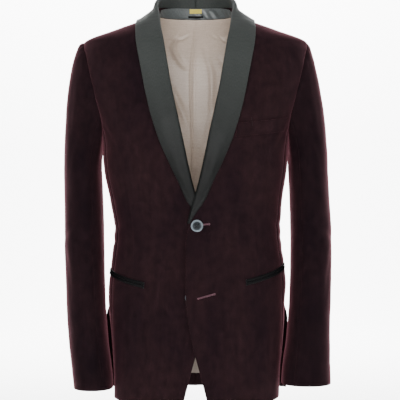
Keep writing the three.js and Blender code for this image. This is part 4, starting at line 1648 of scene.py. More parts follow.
@dataclass
class Collar:
    """Half of the shawl collar: a stand inside, a fold and a wide leaf outside."""

    side: Side
    form: BodyForm
    rows: int = 250  # how many rows its grid has
    thick: float = 1.4
    velvet: float = 2.0  # thickness of the cloth that it folds over
    layer: float = 1.0  # distance kept from that cloth

    def stations(self) -> list[CollarRow]:
        """The rows from the centre back to the lapel's tip.

        Returns:
            The rows, in that order.
        """
        hand = self.side.value
        front = [
            CollarRow(
                float(self.form.turn_at(row.roll_x, row.roll_z, hand)), row.roll_z,
                float(self.form.turn_at(row.edge_x, row.edge_z, hand)), row.edge_z,
                0.2, row.puff, float(mix(1.6, 0.1, smooth(-300, -335, row.roll_z))),
            )
            for row in LAPEL_ROWS
        ]
        every = [*COLLAR_ROWS, *front]
        return every if self.side is Side.LEFT else every[: len(COLLAR_ROWS) + 10]

    def section(self, row: CollarRow) -> Grid:
        """A section's middle line: up the stand, round the fold and out over the form.

        Args:
            row: the station.

        Returns:
            Nine points.
        """
        hand = self.side.value

        def at(share: float, out: float) -> Grid:
            """A point of the section."""
            turn = mix(row.roll_turn, row.edge_turn, share)
            z = np.float64(mix(row.roll_z, row.edge_z, share))
            return self.form.cloth(turn * hand, z, out + self.form.lap(hand, np.float64(turn), z))

        inside = -(self.velvet + self.layer + self.thick / 2)
        outside = self.layer + self.thick / 2 + row.lift
        roll = at(0, (inside + outside) / 2)
        width = float(np.linalg.norm(roll - at(1, outside)))
        near = min(0.2, 2.2 / width)
        reach = max(row.inner, near * 2.2)
        ahead = unit(at(near, inside) - at(0, inside))
        leaf = [
            at(mix(near, 1, share), outside + row.puff * math.sin(math.pi * share) ** 1.2)
            for share in (0.14, 0.36, 0.66)
        ]
        return np.array([
            at(reach, inside), at(reach / 2, inside), at(near / 2, inside * 0.9), roll - 1.2 * ahead,
            at(near / 2, outside * 0.95), *leaf, at(1, outside - row.lift * 0.35),
        ])

    def shell(self) -> Shell:
        """Makes the collar's shell.

        Returns:
            The shell.
        """
        coarse = np.array([self.section(row) for row in self.stations()])
        near = np.array([0.0, 0.0006, 0.0016, 0.003, 0.005])
        down = np.concatenate([near, np.linspace(0.008, 0.992, self.rows), 1 - near[::-1]])
        grid = catmull(coarse, down * (len(coarse) - 1))
        grid[0, :, 0] = self.side.value * 0.02
        stops = [0, 0.03, 0.1, 0.2, 0.4, 1.0, 1.6, 2.0, 2.3, 2.6, 2.8, 3.0, 3.2, 3.4, 3.7, 4.0, 4.3, 4.65]
        stops += [5.0, 5.35, 5.7, 6.0, 6.3, 6.65, 7.0, 7.3, 7.6, 7.8, 7.9, 7.955, 7.98, 7.992, 8.0]
        fine = np.moveaxis(catmull(np.moveaxis(grid, 1, 0), np.array(stops)), 0, 1)
        normal = grid_normals(fine)
        leaf = fine[len(fine) // 2, 24]
        if normal[len(fine) // 2, 24] @ (leaf * np.array([1.0, 1.0, 0.0])) < 0:
            normal = -normal
        left, right, top, bottom = edge_distances(fine)
        seed = 31 if self.side is Side.LEFT else 36
        soft = 0.34 * Waves(seed, 26, 80, 14)(left * 1.2, top) + 0.12 * Waves(seed + 1, 10, 24, 10)(left, top)
        leafward = smooth(4, 16, left - left[:, 13:14])
        soft = soft * (0.25 + 0.75 * leafward)
        soft += 0.3 * bell(right - 2.6, 1.6) - 0.22 * bell(right - 5.4, 1.6)
        soft -= 0.55 * bell(top, 1.5) + 0.25 * bell(top, 5.0)
        curl = rounding([left, right, top, bottom], self.thick)
        upper = fine + normal * (self.thick / 2 - curl + soft)[..., None]
        lower = fine - normal * (self.thick / 2 - curl - soft)[..., None]
        return Shell(f"collar_{self.side.word}", upper, lower)


@dataclass
class Strip:
    """A strip that lies on a front: a welt, or a jet of a pocket."""

    name: str
    side: Side
    form: BodyForm
    start: tuple[float, float]  # turn and height of its inner upper corner
    end: tuple[float, float]  # turn and height of its outer upper corner
    tall: float
    thick: float
    swell: float = 0.0  # how much rounder its face is than a flat strip
    drop: float = 0.0  # how far below its corners it starts
    seat: float = 0.7  # how far it stands off the cloth
    columns: int = 90
    rows: int = 8

    def on_cloth(self, u: Grid, v: Grid, out: Grid) -> Grid:
        """Points on the strip, by shares across and down.

        Args:
            u: shares across.
            v: shares down.
            out: distances out from the cloth.

        Returns:
            The points.
        """
        hand = self.side.value
        turn = mix(self.start[0], self.end[0], u)
        z = mix(self.start[1], self.end[1], u) - self.drop - self.tall * v
        crease = 0.6 * self.form.creasing(turn * hand, z)
        return self.form.cloth(turn * hand, z, out + self.form.lap(hand, turn, z) + crease)

    def shell(self) -> Shell:
        """Makes the strip's shell.

        Returns:
            The shell.
        """
        width = abs(self.end[0] - self.start[0]) * 2.4
        weave = Weave(self.columns, self.rows, width, self.tall, self.thick)
        u, v = weave.grid()
        face = self.on_cloth(u, v, 0 * u)
        sides = edge_distances(face)
        curl = rounding(sides, self.thick)
        waves = 0.12 * Waves(41, 8, 26, 10)(sides[0], sides[2])
        out = self.thick + self.seat + self.swell * np.sin(np.pi * v) ** 0.7 + waves
        upper = self.on_cloth(u, v, out - curl)
        lower = self.on_cloth(u, v, self.seat - 0.9 + curl)
        return Shell(self.name, upper, lower)


@dataclass
class InnerStrip:
    """A strip inside the back: the neck band, the hanging loop or the label."""

    name: str
    form: BodyForm
    half: float
    z: float
    tall: float
    depth: float  # how far inside the form it lies
    bow: float = 0.0  # how far its middle stands off
    thick: float = 0.8
    gather: float = 0.0  # height of its gathers
    seed: int = 51

    def at(self, u: Grid, v: Grid, out: Grid) -> Grid:
        """Points on the strip, by shares across and down.

        Args:
            u: shares across.
            v: shares down.
            out: distances out from the strip.

        Returns:
            The points.
        """
        z = self.z + self.tall * (0.5 - v)
        turn = 180 - self.form.turn_at(mix(-self.half, self.half, u), z, 1)
        return self.form.cloth(turn, z, out - self.depth - self.bow * np.sin(np.pi * u))

    def shell(self) -> Shell:
        """Makes the strip's shell.

        Returns:
            The shell.
        """
        weave = Weave(40, 8, 2 * self.half, self.tall, self.thick)
        u, v = weave.grid()
        return self.finished(u, v)

    def finished(self, u: Grid, v: Grid) -> Shell:
        """The shell on a grid of shares, with its gathers.

        Args:
            u: shares across.
            v: shares down.

        Returns:
            The shell.
        """
        face = self.at(u, v, 0 * u)
        sides = edge_distances(face)
        curl = rounding(sides, self.thick)
        fold = Waves(self.seed, 9, 30, 12)(sides[0] + 0.5 * sides[2], 0.3 * sides[2])
        out = self.gather * fold * smooth(0, 6, sides[2]) * smooth(0, 4, sides[3])
        upper = self.at(u, v, out - curl)
        lower = self.at(u, v, out - self.thick + curl)
        return Shell(self.name, upper, lower)


@dataclass
class NeckBand(InnerStrip):
    """The band round the inside of the neck, lower at its ends."""

    reach: float = 68.0  # degrees that it reaches to each side
    top: float = 33.2  # height of its upper edge at the back
    low: float = 13.6  # height of its lower edge

    def at(self, u: Grid, v: Grid, out: Grid) -> Grid:
        """Points on the band, by shares across and down.

        Args:
            u: shares across.
            v: shares down.
            out: distances out from the band.

        Returns:
            The points.
        """
        turn = mix(180 - self.reach, 180 + self.reach, u)
        z = mix(self.top, self.low, v) - 9 * np.abs(2 * u - 1) ** 3 * (1 - v)
        return self.form.cloth(turn, z, out - self.depth)

    def shell(self) -> Shell:
        """Makes the band's shell."""
        u, v = Weave(150, 14, 200.0, 19.6, self.thick).grid()
        return self.finished(u, v)


@dataclass
class LiningPiece:
    """Lining behind a front or a side panel, short of the hem and of the front's facing."""

    name: str
    form: BodyForm
    place: Place  # where the outer panel's shares lie
    start: float  # share across where the facing ends
    stop: float = 0.968  # share down where the lining ends
    depth: float = 3.6  # how far inside the form it lies

    def shell(self) -> Shell:
        """Makes the lining's shell.

        Returns:
            The shell.
        """
        u, v = Weave(22, 66, 120.0, 640.0, 0.6).grid()
        turn, z, out = self.place(mix(self.start, 0.997, u), mix(0.02, self.stop, v))
        face = self.form.point(turn, z)
        sides = edge_distances(face)
        curl = rounding(sides, 0.6)
        slack = 0.8 * Waves(61, 40, 120, 12)(turn * 2.4, z) - 0.8
        slack = slack * smooth(0, 25, np.minimum.reduce(sides)) + self.form.creasing(turn, z)
        upper = self.form.cloth(turn, z, out - self.depth + slack - curl)
        lower = self.form.cloth(turn, z, out - self.depth - 0.6 + slack + curl)
        return Shell(self.name, upper, lower)


@dataclass
class SleeveLining:
    """The lining inside a sleeve, a tube that ends above the cuff's turned-up cloth."""

    sleeve: Sleeve
    depth: float = 7.5  # how far inside the sleeve it lies
    cuff_depth: float = 2.7  # how far inside it lies at its end
    stop: float = 0.972  # share of the way to the cuff where it ends

    def shell(self) -> Shell:
        """Makes the lining's shell.

        Returns:
            The shell.
        """
        degrees, share = np.meshgrid(np.arange(0, 360, 6.0), np.linspace(0.03, self.stop, 70))
        base = self.sleeve.points(degrees, share)
        wrapped = np.concatenate([base[:, -1:], base, base[:, :1]], axis=1)
        normal = grid_normals(wrapped)[:, 1:-1]
        middle = base.mean(axis=1, keepdims=True)
        normal *= np.sign(np.sum(normal * (base - middle), axis=-1).mean())
        slack = 0.9 * Waves(71, 40, 110, 12)(120 * np.sin(np.radians(degrees)), base[..., 2])
        depth = mix(self.depth, self.cuff_depth, smooth(0.85, self.stop, share))
        upper = base + normal * (0.5 * slack - depth)[..., None]
        lower = upper - normal * 0.6
        return Shell(f"sleeve_lining_{self.sleeve.side.word}", upper, lower, closed=True)


@dataclass
class Button:
    """A round button with a raised rim, a dish and four holes."""

    name: str
    form: BodyForm
    side: Side
    x: float  # distance from the centre
    z: float
    across: float
    thick: float
    seat: float  # how far it stands off the cloth
    hole: float = 1.15  # radius of a hole
    pitch: float = 3.6  # distance between two holes

    def axes(self) -> tuple[Grid, Grid, Grid, Grid]:
        """The button's middle and its directions across, up and out.

        Returns:
            The middle and the three directions.
        """
        turn = self.form.turn_at(self.x, np.float64(self.z), 1)
        lap = self.form.lap(self.side.value, turn, np.float64(self.z))
        centre = self.form.cloth(turn, self.z, lap + self.seat)
        out = self.form.normal(turn, np.float64(self.z))
        across = unit(np.cross(np.array([0.0, 0.0, 1.0]), out))
        return centre, across, np.cross(out, across), out

    def at(self, x: Grid, y: Grid, height: Grid) -> Grid:
        """Points over the button's back, in the jacket's frame.

        Args:
            x: distances across the button.
            y: distances up it.
            height: distances out from its back.

        Returns:
            The points.
        """
        centre, across, up, out = self.axes()
        flat = np.multiply.outer(x, across) + np.multiply.outer(y, up)
        return centre + flat + np.multiply.outer(height, out)

    def hole_centres(self) -> list[tuple[float, float]]:
        """The four holes' places."""
        half = self.pitch / 2
        return [(half, half), (-half, half), (-half, -half), (half, -half)]

    def face(self, radius: Grid, x: Grid, y: Grid) -> Grid:
        """Height of the button's face.

        Args:
            radius: distances from the button's middle.
            x: distances across it.
            y: distances up it.

        Returns:
            The heights over its back.
        """
        edge = self.across / 2
        dish = 0.66 * self.thick + 0.05 * radius
        rim = (self.thick - dish) * smooth(edge * 0.62, edge * 0.74, radius)
        fall = 0.5 * self.thick * (1 - np.sqrt(np.clip(1 - smooth(edge * 0.84, edge, radius) ** 2, 0, 1)))
        height = dish + rim - fall
        for cx, cy in self.hole_centres():
            away = np.hypot(x - cx, y - cy)
            height = height - 0.55 * self.thick * smooth(self.hole + 0.25, self.hole - 0.25, away)
            height = height - 0.1 * bell(away - self.hole, 0.5)
        return height

    def shell(self) -> Shell:
        """Makes the button's shell.

        Returns:
            The shell.
        """
        edge = self.across / 2
        rim = edge * np.linspace(0.85, 1.0, 10)
        radii = np.concatenate([[0.02], np.linspace(0.15, edge * 0.84, 46), rim])
        angle, radius = np.meshgrid(np.radians(np.arange(0, 360, 3.75)), radii)
        x, y = radius * np.cos(angle), radius * np.sin(angle)
        back = 0.3 * self.thick * smooth(edge * 0.86, edge, radius)
        return Shell(self.name, self.at(x, y, self.face(radius, x, y)), self.at(x, y, back), closed=True)

    def threads(self) -> list[Grid]:
        """The strands that hold the button, over the bars between its holes.

        Returns:
            The points of each strand.
        """
        lines = []
        top = 0.68 * self.thick
        for first, second in ((0, 3), (1, 2)):
            ax, ay = self.hole_centres()[first]
            bx, by = self.hole_centres()[second]
            for k in range(4):
                off = (k - 1.5) * 0.34
                t = np.linspace(0, 1, 13)
                rise = top + 0.55 * np.sin(np.pi * t) ** 0.5 - 0.9 * (np.abs(2 * t - 1) > 0.95)
                lines.append(self.at(mix(ax, bx, t) + off + 0.12 * np.sin(3 * t + k), mix(ay, by, t), rise))
        return lines


def tube(name: str, lines: Sequence[Grid], radius: float, finish: Finish) -> Piece:
    """Makes round threads along lines.

    Args:
        name: the object's name.
        lines: points of each thread, in millimetres.
        radius: the threads' radius.
        finish: their material.

    Returns:
        One object with every thread.
    """
    ring = np.linspace(0, math.tau, 8, endpoint=False)
    points, faces, first = [], [], 0
    for line in lines:
        along = unit(np.gradient(line, axis=0))
        side = unit(np.cross(along, np.array([0.13, 0.21, 0.97])))
        up = np.cross(along, side)
        size = radius * np.sin(np.pi * np.linspace(0.04, 0.96, len(line))) ** 0.25
        circle = np.cos(ring)[None, :, None] * side[:, None] + np.sin(ring)[None, :, None] * up[:, None]
        points.append((line[:, None] + circle * size[:, None, None]).reshape(-1, 3))
        index = first + np.arange(len(line) * 8).reshape(len(line), 8)
        wrapped = np.concatenate([index, index[:, :1]], axis=1)
        a, b = wrapped[:-1, :-1].ravel(), wrapped[:-1, 1:].ravel()
        c, d = wrapped[1:, 1:].ravel(), wrapped[1:, :-1].ravel()
        faces.append(np.stack([a, b, c, d], axis=1))
        for cap in (index[0, ::-1], index[-1]):
            faces.append(np.array([[cap[0], cap[1], cap[2], cap[3]], [cap[0], cap[3], cap[4], cap[7]],
                                   [cap[4], cap[5], cap[6], cap[7]]]))
        first += len(line) * 8
    return make_object(name, np.concatenate(points) * MM, np.concatenate(faces), finish)


@dataclass
class StitchStyle:
    """A kind of stitch."""

    pitch: float  # distance from one stitch to the next
    length: float
    radius: float
    tilt: float = 0.0  # degrees from the line that the stitch crosses it at
    jitter: float = 3.0  # how uneven the stitches are, in degrees
    seed: int = 7


class StitchNodes:
    """A node group that sets a stitch at even steps along a line on the cloth."""

    INPUTS = {
        "Pitch": "Float", "Length": "Float", "Radius": "Float", "Tilt": "Float", "Jitter": "Float",
        "Seed": "Int", "Finish": "Material",
    }

    def __init__(self) -> None:
        """Builds the group."""
        self.group = bpy.data.node_groups.new("Stitches", "GeometryNodeTree")
        face = self.group.interface
        face.new_socket("Geometry", in_out="INPUT", socket_type="NodeSocketGeometry")
        self.sockets = {
            name: face.new_socket(name, in_out="INPUT", socket_type=f"NodeSocket{kind}")
            for name, kind in self.INPUTS.items()
        }
        face.new_socket("Geometry", in_out="OUTPUT", socket_type="NodeSocketGeometry")
        self.wire()

    def node(self, kind: str, inputs: dict[str | int, object], **settings: str) -> bpy.types.Node:
        """Adds a node.

        Args:
            kind: the node's type.
            inputs: its inputs' values and the sockets that they are joined to.
            settings: its other settings.

        Returns:
            The node.
        """
        node = self.group.nodes.new(kind)
        for key, value in settings.items():
            setattr(node, key, value)
        for key, value in inputs.items():
            if isinstance(value, Socket):
                self.group.links.new(value, node.inputs[key])
            else:
                node.inputs[key].default_value = value
        return node

    def maths(self, operation: str, first: Socket, second: object) -> Socket:
        """A sum or a product of two numbers."""
        return self.node("ShaderNodeMath", {0: first, 1: second}, operation=operation).outputs["Value"]

    def wire(self) -> None:
        """Adds and joins the group's nodes: points on the line, turned balls on them, then a mesh."""
        start = self.node("NodeGroupInput", {}).outputs
        line = self.node("GeometryNodeMeshToCurve", {"Mesh": start["Geometry"]})
        run = {"Curve": line.outputs["Curve"], "Length": start["Pitch"]}
        steps = self.node("GeometryNodeResampleCurve", run, mode="LENGTH")
        ball = self.node("GeometryNodeMeshUVSphere", {"Segments": 8, "Rings": 6, "Radius": 1.0})
        half = self.maths("MULTIPLY", start["Length"], 0.5)
        size = self.node("ShaderNodeCombineXYZ", {"X": half, "Y": start["Radius"], "Z": start["Radius"]})
        out = self.node("GeometryNodeInputNamedAttribute", {"Name": "out"}, data_type="FLOAT_VECTOR")
        tangent = self.node("GeometryNodeInputTangent", {})
        align = "FunctionNodeAlignRotationToVector"
        stand = self.node(align, {"Vector": out.outputs["Attribute"]}, axis="Z")
        turns = {"Rotation": stand.outputs["Rotation"], "Vector": tangent.outputs["Tangent"]}
        along = self.node(align, turns, axis="X", pivot_axis="Z")
        least = self.maths("MULTIPLY", start["Jitter"], -1.0)
        range_of = {2: least, 3: start["Jitter"], "Seed": start["Seed"]}
        chance = self.node("FunctionNodeRandomValue", range_of, data_type="FLOAT")
        lean = self.maths("ADD", start["Tilt"], chance.outputs[1])
        twist = self.node("FunctionNodeAxisAngleToRotation", {"Axis": (0, 0, 1), "Angle": lean})
        turns = {"Rotation": along.outputs["Rotation"], "Rotate By": twist.outputs["Rotation"]}
        turned = self.node("FunctionNodeRotateRotation", turns, rotation_space="LOCAL")
        put = self.node("GeometryNodeInstanceOnPoints", {
            "Points": steps.outputs["Curve"], "Instance": ball.outputs["Mesh"],
            "Rotation": turned.outputs["Rotation"], "Scale": size.outputs["Vector"],
        })
        real = self.node("GeometryNodeRealizeInstances", {"Geometry": put.outputs["Instances"]})
        dress = {"Geometry": real.outputs["Geometry"], "Material": start["Finish"]}
        dressed = self.node("GeometryNodeSetMaterial", dress)
        self.node("NodeGroupOutput", {"Geometry": dressed.outputs["Geometry"]})

    def sew(self, name: str, lines: Sequence[SewnRow], style: StitchStyle, finish: Finish) -> Piece:
        """Makes rows of stitches.

        Args:
            name: the object's name.
            lines: each row's points, in millimetres, and the directions out of the cloth.
            style: the stitch.
            finish: the thread's material.

        Returns:
            A plain mesh object with every stitch.
        """
        points = np.concatenate([line for line, _ in lines]) * MM
        outward = np.concatenate([out for _, out in lines])
        edges, first = [], 0
        for line, _ in lines:
            edges += [(first + k, first + k + 1) for k in range(len(line) - 1)]
            first += len(line)
        host_mesh = bpy.data.meshes.new(f"{name} line")
        host_mesh.from_pydata(points.tolist(), edges, [])
        host_mesh.attributes.new("out", "FLOAT_VECTOR", "POINT").data.foreach_set("vector", outward.ravel())
        host = bpy.data.objects.new(f"{name} line", host_mesh)
        bpy.context.scene.collection.objects.link(host)
        modifier = host.modifiers.new("Stitches", "NODES")
        modifier.node_group = self.group
        values = {
            "Pitch": style.pitch * MM, "Length": style.length * MM, "Radius": style.radius * MM,
            "Tilt": math.radians(style.tilt), "Jitter": math.radians(style.jitter),
            "Seed": style.seed, "Finish": finish,
        }
        for key, value in values.items():
            modifier[self.sockets[key].identifier] = value
        graph = bpy.context.evaluated_depsgraph_get()
        mesh = bpy.data.meshes.new_from_object(host.evaluated_get(graph))
        mesh.name = name
        for polygon in mesh.polygons:
            polygon.use_smooth = True
        host.modifiers.remove(modifier)
        bpy.data.objects.remove(host)
        bpy.data.meshes.remove(host_mesh)
        made = bpy.data.objects.new(name, mesh)
        bpy.context.scene.collection.objects.link(made)
        return made


# How deep the neck band lies: the velvet, the collar's stand and the gaps between them.
NECK_DEPTH = 4.0

# Turn and height of the hip pockets' inner and outer ends.
JET_STARTS = {Side.LEFT: (27.9, -487.0), Side.RIGHT: (31.2, -492.0)}
JET_ENDS = {Side.LEFT: (79.0, -459.5), Side.RIGHT: (79.0, -470.0)}


class SewnLine(NamedTuple):
    """A row of stitches on a front: its corners, by distance from the centre and height."""

    corners: tuple[tuple[float, float], ...]
    side: Side = Side.LEFT
    out: float = 0.15
    turned: bool = False


@dataclass
class Jacket:
    """The whole jacket, built sub-assembly by sub-assembly."""

    form: BodyForm
    wear: Wardrobe

    def __post_init__(self) -> None:
        """Makes the pattern and the stitch nodes that the pieces share."""
        self.pattern = Pattern(self.form)
        self.needle = StitchNodes()

    def cloth(self, shell: Shell, finish: Finish, slot: Slot, packed: bool = True) -> None:
        declare_sheet(place_piece(shell.build(finish), slot, [shell.name] if packed else []), shell)

    def sew(
        self, name: str, lines: Sequence[SewnRow], style: StitchStyle, finish: Finish, slot: Slot
    ) -> None:
        """Sews rows of stitches and places them."""
        place_piece(self.needle.sew(name, lines, style, finish), slot)

    def body(self) -> None:
        """Builds the fronts, the sides and the backs."""
        shares = (self.pattern.shoulder_share, self.pattern.armhole_share)
        vent = self.pattern.vent.top
        for side in Side:
            hand, word = side.value, side.word
            front = Panel(
                f"front_{word}", self.form, self.pattern.front(hand), Weave(92, 206, 150, 740, 2.0, shares),
                Edges(right=True), creases=tuple(dart for dart in DARTS if dart.path[0][0] * hand > 0),
            )
            flank = Panel(
                f"side_{word}", self.form, self.pattern.side(hand), Weave(38, 130, 120, 475, 2.0),
                Edges(left=True, right=True, top=True), (NO_END, vent),
            )
            back = Panel(
                f"back_{word}", self.form, self.pattern.back(hand), Weave(72, 184, 190, 740, 2.0, shares),
                Edges(left=True, right=True), (vent, NO_END),
            )
            for panel in (front, flank, back):
                self.cloth(panel.shell(), self.wear.velvet, Slot.VELVET)

    def linings(self) -> None:
        """Builds the back lining that shows, and the lining that hides in the fronts and sides."""
        for side in Side:
            hand, word = side.value, side.word
            back = Panel(
                f"back_lining_{word}", self.form, self.pattern.lining(hand), Weave(78, 140, 150, 700, 0.8),
                Edges(), creases=LINING_CREASES, worn=False,
            )
            self.cloth(back.shell(), self.wear.lining, Slot.LINING)
            front = LiningPiece(f"front_lining_{word}", self.form, self.pattern.front(hand), 0.42)
            flank = LiningPiece(f"side_lining_{word}", self.form, self.pattern.side(hand), 0.003, depth=4.6)
            for hidden in (front, flank):
                self.cloth(hidden.shell(), self.wear.lining, Slot.LINING, False)

    def sleeves(self) -> None:
        """Builds both sleeves with their lining."""
        for side, rows, reach in ((Side.LEFT, SLEEVE_LEFT, 11.0), (Side.RIGHT, SLEEVE_RIGHT, 28.0)):
            sleeve = Sleeve(side, self.form, self.pattern.armhole, rows, reach)
            for word, start, stop, weave in (
                ("top", sleeve.back_seam - 360, sleeve.front_seam, Weave(84, 170, 230, 640, sleeve.thick)),
                ("under", sleeve.front_seam, sleeve.back_seam, Weave(42, 170, 115, 560, sleeve.thick)),
            ):
                shell = sleeve.shell(f"{word}_sleeve_{side.word}", start, stop, weave)
                self.cloth(shell, self.wear.sleeve, Slot.VELVET)
            self.cloth(SleeveLining(sleeve).shell(), self.wear.lining, Slot.LINING, False)

    def collar(self) -> None:
        """Builds the collar's halves and, inside the neck, the band, the loop and the label."""
        for side in Side:
            self.cloth(Collar(side, self.form).shell(), self.wear.lapel, Slot.LAPEL)
        band = NeckBand("neck_band", self.form, 0, 0, 0, NECK_DEPTH, gather=0.85)
        loop = InnerStrip("hanger_loop", self.form, 15.5, 18.5, 4.0, NECK_DEPTH + 1.1, 2.2, 1.0)
        label = InnerStrip("label_blank", self.form, 12.5, 28.5, 7.5, NECK_DEPTH + 1.1, 0.0, 0.6)
        self.cloth(band.shell(), self.wear.band, Slot.BLACK)
        self.cloth(loop.shell(), self.wear.black, Slot.BLACK)
        self.cloth(label.shell(), self.wear.label, Slot.LABEL)

    def pockets(self) -> None:
        """Builds the breast welt and the hip pockets' jets."""
        ends = (19, -202.5), (60, -190)
        welt = Strip("breast_welt", Side.LEFT, self.form, *ends, 25.0, 1.2, 0.5, columns=96, rows=22)
        self.cloth(welt.shell(), self.wear.velvet, Slot.VELVET)
        for side in Side:
            for word, drop in (("upper", 0.0), ("lower", 5.45)):
                name = f"hip_jet_{word}_{side.word}"
                jet = Strip(name, side, self.form, JET_STARTS[side], JET_ENDS[side], 5.2, 1.1, 0.9, drop)
                self.cloth(jet.shell(), self.wear.black, Slot.BLACK)

    def on_front(self, line: SewnLine, steps: int = 40) -> SewnRow:
        """Points along a sewn line and the directions out of the cloth there.

        Args:
            line: the line.
            steps: how many points.

        Returns:
            The points and the directions.
        """
        x, z = along(line.corners, steps)
        hand = line.side.value
        turn = x if line.turned else self.form.turn_at(x, z, hand)
        out = self.form.lap(hand, turn, z) + self.form.creasing(turn * hand, z) + line.out
        return self.form.cloth(turn * hand, z, out), self.form.normal(turn * hand, z)

    def buttons(self) -> None:
        """Builds the buttons, the thread on them and the buttonholes."""
        upper = Button("button_upper", self.form, Side.LEFT, 2.9, -388.5, 22, 3.2, 1.4)
        lower = Button("button_lower", self.form, Side.RIGHT, -8.6, -519, 20, 1.6, 0.6)
        for word, button in (("upper", upper), ("lower", lower)):
            place_piece(button.shell().build(self.wear.button), Slot.BUTTON, [button.name])
            place_piece(tube(f"button_thread_{word}", button.threads(), 0.17, self.wear.thread), Slot.BLACK)
        for word, start, end in (
            ("upper", (-3.0, -388.0), (24.7, -385.4)), ("lower", (4.4, -520.7), (34.2, -512.4)),
        ):
            self.buttonhole(word, start, end)

    def buttonhole(self, word: str, start: tuple[float, float], end: tuple[float, float]) -> None:
        """Builds one worked buttonhole.

        Args:
            word: which one.
            start: distance from the centre and height of its first end.
            end: the same of its other end, where the eye is.
        """
        first, last = np.array(start), np.array(end)
        run = unit(last - first)
        over = np.array([-run[1], run[0]])
        eye = [last + 1.5 * (run * math.cos(a) + over * math.sin(a)) for a in np.linspace(2.4, -2.4, 9)]
        upper = [first + 0.75 * over, last - 1.2 * run + 0.75 * over, *eye]
        ring = (*upper, last - 1.2 * run - 0.75 * over, first - 0.75 * over)
        line = self.on_front(SewnLine(ring, out=0.28), 150)
        style = StitchStyle(0.5, 1.7, 0.26, 90.0, 5.0, 12)
        self.sew(f"buttonhole_{word}", [line], style, self.wear.silk, Slot.VELVET)
        ends = [
            self.on_front(SewnLine((p + 0.8 * over, p - 0.8 * over), out=0.4), 6)
            for p in (first, first - 0.5 * run)
        ]
        style = StitchStyle(0.4, 1.2, 0.3, 90.0, 4.0, 13)
        self.sew(f"buttonhole_bar_{word}", ends, style, self.wear.silk, Slot.VELVET)
        # The dark tube along the slit is a painted shadow in the opening of the cut.
        points, _ = self.on_front(SewnLine((first + 0.4 * run, last), out=0.02), 60)
        place_piece(tube(f"buttonhole_slit_{word}", [points], 0.42, self.wear.shadow), Slot.VELVET)

    def sewing(self) -> None:
        """Sews the welt's ends, the pockets' ends, the label, the loop and the neck band."""
        thread = self.wear.thread
        welt = [
            self.on_front(SewnLine(((36.4, -205.0), (33.6, -226.4)), out=2.55), 20),
            self.on_front(SewnLine(((101.6, -193.5), (103.2, -212.5)), out=2.35), 20),
        ]
        self.sew("welt_stitches", welt, StitchStyle(2.3, 1.7, 0.16), thread, Slot.VELVET)
        tacks = []
        for side in Side:
            for (turn, z), inward in ((JET_STARTS[side], 0.17), (JET_ENDS[side], -0.17)):
                for at in (turn, turn + inward, turn + 2 * inward):
                    tacks.append(self.on_front(SewnLine(((at, z), (at, z - 10.8)), side, 2.4, True), 16))
        self.sew("pocket_tacks", tacks, StitchStyle(1.0, 1.1, 0.17, 0.0, 6.0, 15), thread, Slot.BLACK)
        label = InnerStrip("label", self.form, 11.8, 28.5, 6.8, NECK_DEPTH + 1.1)
        line = self.inner_line(label, ((0, 0), (1, 0), (1, 1), (0, 1), (0, 0)), 0.75)
        style = StitchStyle(1.5, 1.0, 0.11, 0.0, 4.0, 17)
        self.sew("label_stitches", [line], style, self.wear.label, Slot.LABEL)
        loop = InnerStrip("loop", self.form, 15.0, 18.5, 3.4, NECK_DEPTH + 1.1)
        ends = []
        for near, far in ((0.0, 0.1), (1.0, 0.9)):
            for first, last in (((near, 0), (near, 1)), ((far, 0), (far, 1)), ((near, 0), (far, 1))):
                ends.append(self.inner_line(loop, (first, last), 1.25))
        self.sew("loop_stitches", ends, StitchStyle(0.9, 0.75, 0.12, 0.0, 4.0, 19), thread, Slot.BLACK)
        band = NeckBand("band", self.form, 0, 0, 0, NECK_DEPTH)
        line = self.inner_line(band, ((0.02, 0.93), (0.98, 0.93)), 0.95, 160)
        self.sew("band_stitches", [line], StitchStyle(2.4, 1.2, 0.13, 20.0, 5.0, 23), thread, Slot.BLACK)

    @staticmethod
    def inner_line(
        strip: InnerStrip, corners: Sequence[tuple[float, float]], above: float, steps: int = 60
    ) -> SewnRow:
        """Points along a sewn line on an inner strip, and the directions out of it.

        Args:
            strip: the strip.
            corners: the line's corners, by shares across and down.
            above: how far it stands off.
            steps: how many points.

        Returns:
            The points and the directions.
        """
        u, v = along(corners, steps)
        points = strip.at(u, v, np.full(u.shape, -above))
        return points, unit(points * np.array([-1.0, -1.0, 0.0]))


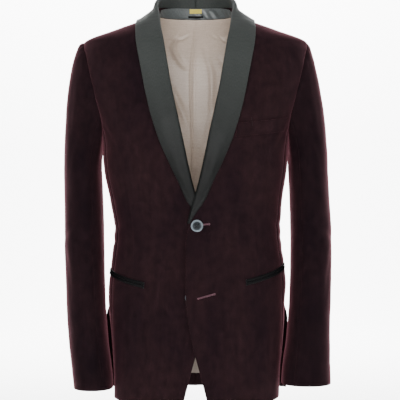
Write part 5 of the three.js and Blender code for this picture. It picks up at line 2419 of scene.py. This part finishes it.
@dataclass
class Studio:
    """A pale floor that runs up into a wall, soft lights and the photo's camera."""

    floor: float = -0.93  # height of the floor, in metres
    pale: Colour = (0.93, 0.93, 0.93)
    eye: tuple[float, float, float] = (0.0084, -2.300, -0.342)
    lens: float = 108.9  # the camera's lens, in millimetres

    def backdrop(self) -> None:
        """Builds the floor and the wall."""
        profile = [(-4.0, 0.0), (3.2, 0.0)]
        bend = np.linspace(0.1, math.pi / 2, 12)
        profile += [(3.2 + 0.9 * math.sin(a), 0.9 - 0.9 * math.cos(a)) for a in bend]
        profile += [(4.1, 4.6)]
        points, faces = [], []
        for x in (-5.0, 5.0):
            points += [(x, y, self.floor + z) for y, z in profile]
        count = len(profile)
        for k in range(count - 1):
            faces.append((k, k + count, k + count + 1, k + 1))
        shader = Shader("Studio paper")
        shader.main.inputs["Base Color"].default_value = (*self.pale, 1)
        made = make_object("Studio floor", np.array(points), np.array(faces), shader.settle(Roughness=0.95))

    def light(
        self, name: str, at: tuple[float, float, float], aim: tuple[float, float, float],
        size: tuple[float, float], power: float, tint: Colour = (1.0, 1.0, 1.0),
    ) -> None:
        """Adds a soft light.

        Args:
            name: its name.
            at: its place.
            aim: the place that it faces.
            size: width and height.
            power: watts.
            tint: its colour.
        """
        data = bpy.data.lights.new(name, "AREA")
        data.shape, data.size, data.size_y = "RECTANGLE", *size
        data.energy, data.color = power, tint
        lamp = bpy.data.objects.new(name, data)
        lamp.location = at
        lamp.rotation_euler = (Vector(aim) - Vector(at)).to_track_quat("-Z", "Y").to_euler()
        bpy.context.scene.collection.objects.link(lamp)

    def lights(self) -> None:
        """Adds the lights and the sky's even glow."""
        middle = (0.0, 0.0, -0.34)
        self.light("Key", (-1.5, -2.3, 1.3), middle, (1.5, 1.5), 27)
        self.light("Fill", (1.7, -2.2, 0.5), middle, (1.6, 1.8), 20)
        self.light("Front", (0.0, -2.7, -0.32), middle, (1.0, 1.0), 62)
        self.light("Rim right", (1.9, 0.9, 0.5), middle, (0.9, 2.2), 26, (1.0, 0.97, 0.97))
        self.light("Rim left", (-1.9, 0.9, 0.5), middle, (0.9, 2.2), 26, (1.0, 0.97, 0.97))
        self.light("Top", (0.0, -0.2, 1.9), middle, (2.2, 1.6), 16)
        self.light("Wall", (0.0, 1.9, 2.0), (0.0, 4.1, 0.0), (4.2, 1.2), 1000)
        world = bpy.data.worlds.new("Studio air")
        world.use_nodes = True
        world.node_tree.nodes["Background"].inputs["Color"].default_value = (1, 1, 1, 1)
        world.node_tree.nodes["Background"].inputs["Strength"].default_value = 0.75
        bpy.context.scene.world = world

    def camera(self) -> None:
        """Adds the camera, level with the jacket's middle."""
        data = bpy.data.cameras.new("Photo camera")
        data.lens, data.sensor_width = self.lens, 36.0
        eye = bpy.data.objects.new("Photo camera", data)
        eye.location = self.eye
        eye.rotation_euler = (math.pi / 2, 0, 0)
        bpy.context.scene.collection.objects.link(eye)
        bpy.context.scene.camera = eye


def main() -> None:
    """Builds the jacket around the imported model, then the studio."""
    logging.basicConfig(level=logging.INFO, format="%(name)s: %(message)s")
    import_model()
    jacket = Jacket(BodyForm(), Wardrobe())
    for build in (
        jacket.body, jacket.linings, jacket.sleeves, jacket.collar,
        jacket.pockets, jacket.buttons, jacket.sewing,
    ):
        build()
    studio = Studio()
    studio.backdrop()
    studio.lights()
    studio.camera()


if __name__ == "__main__":
    main()
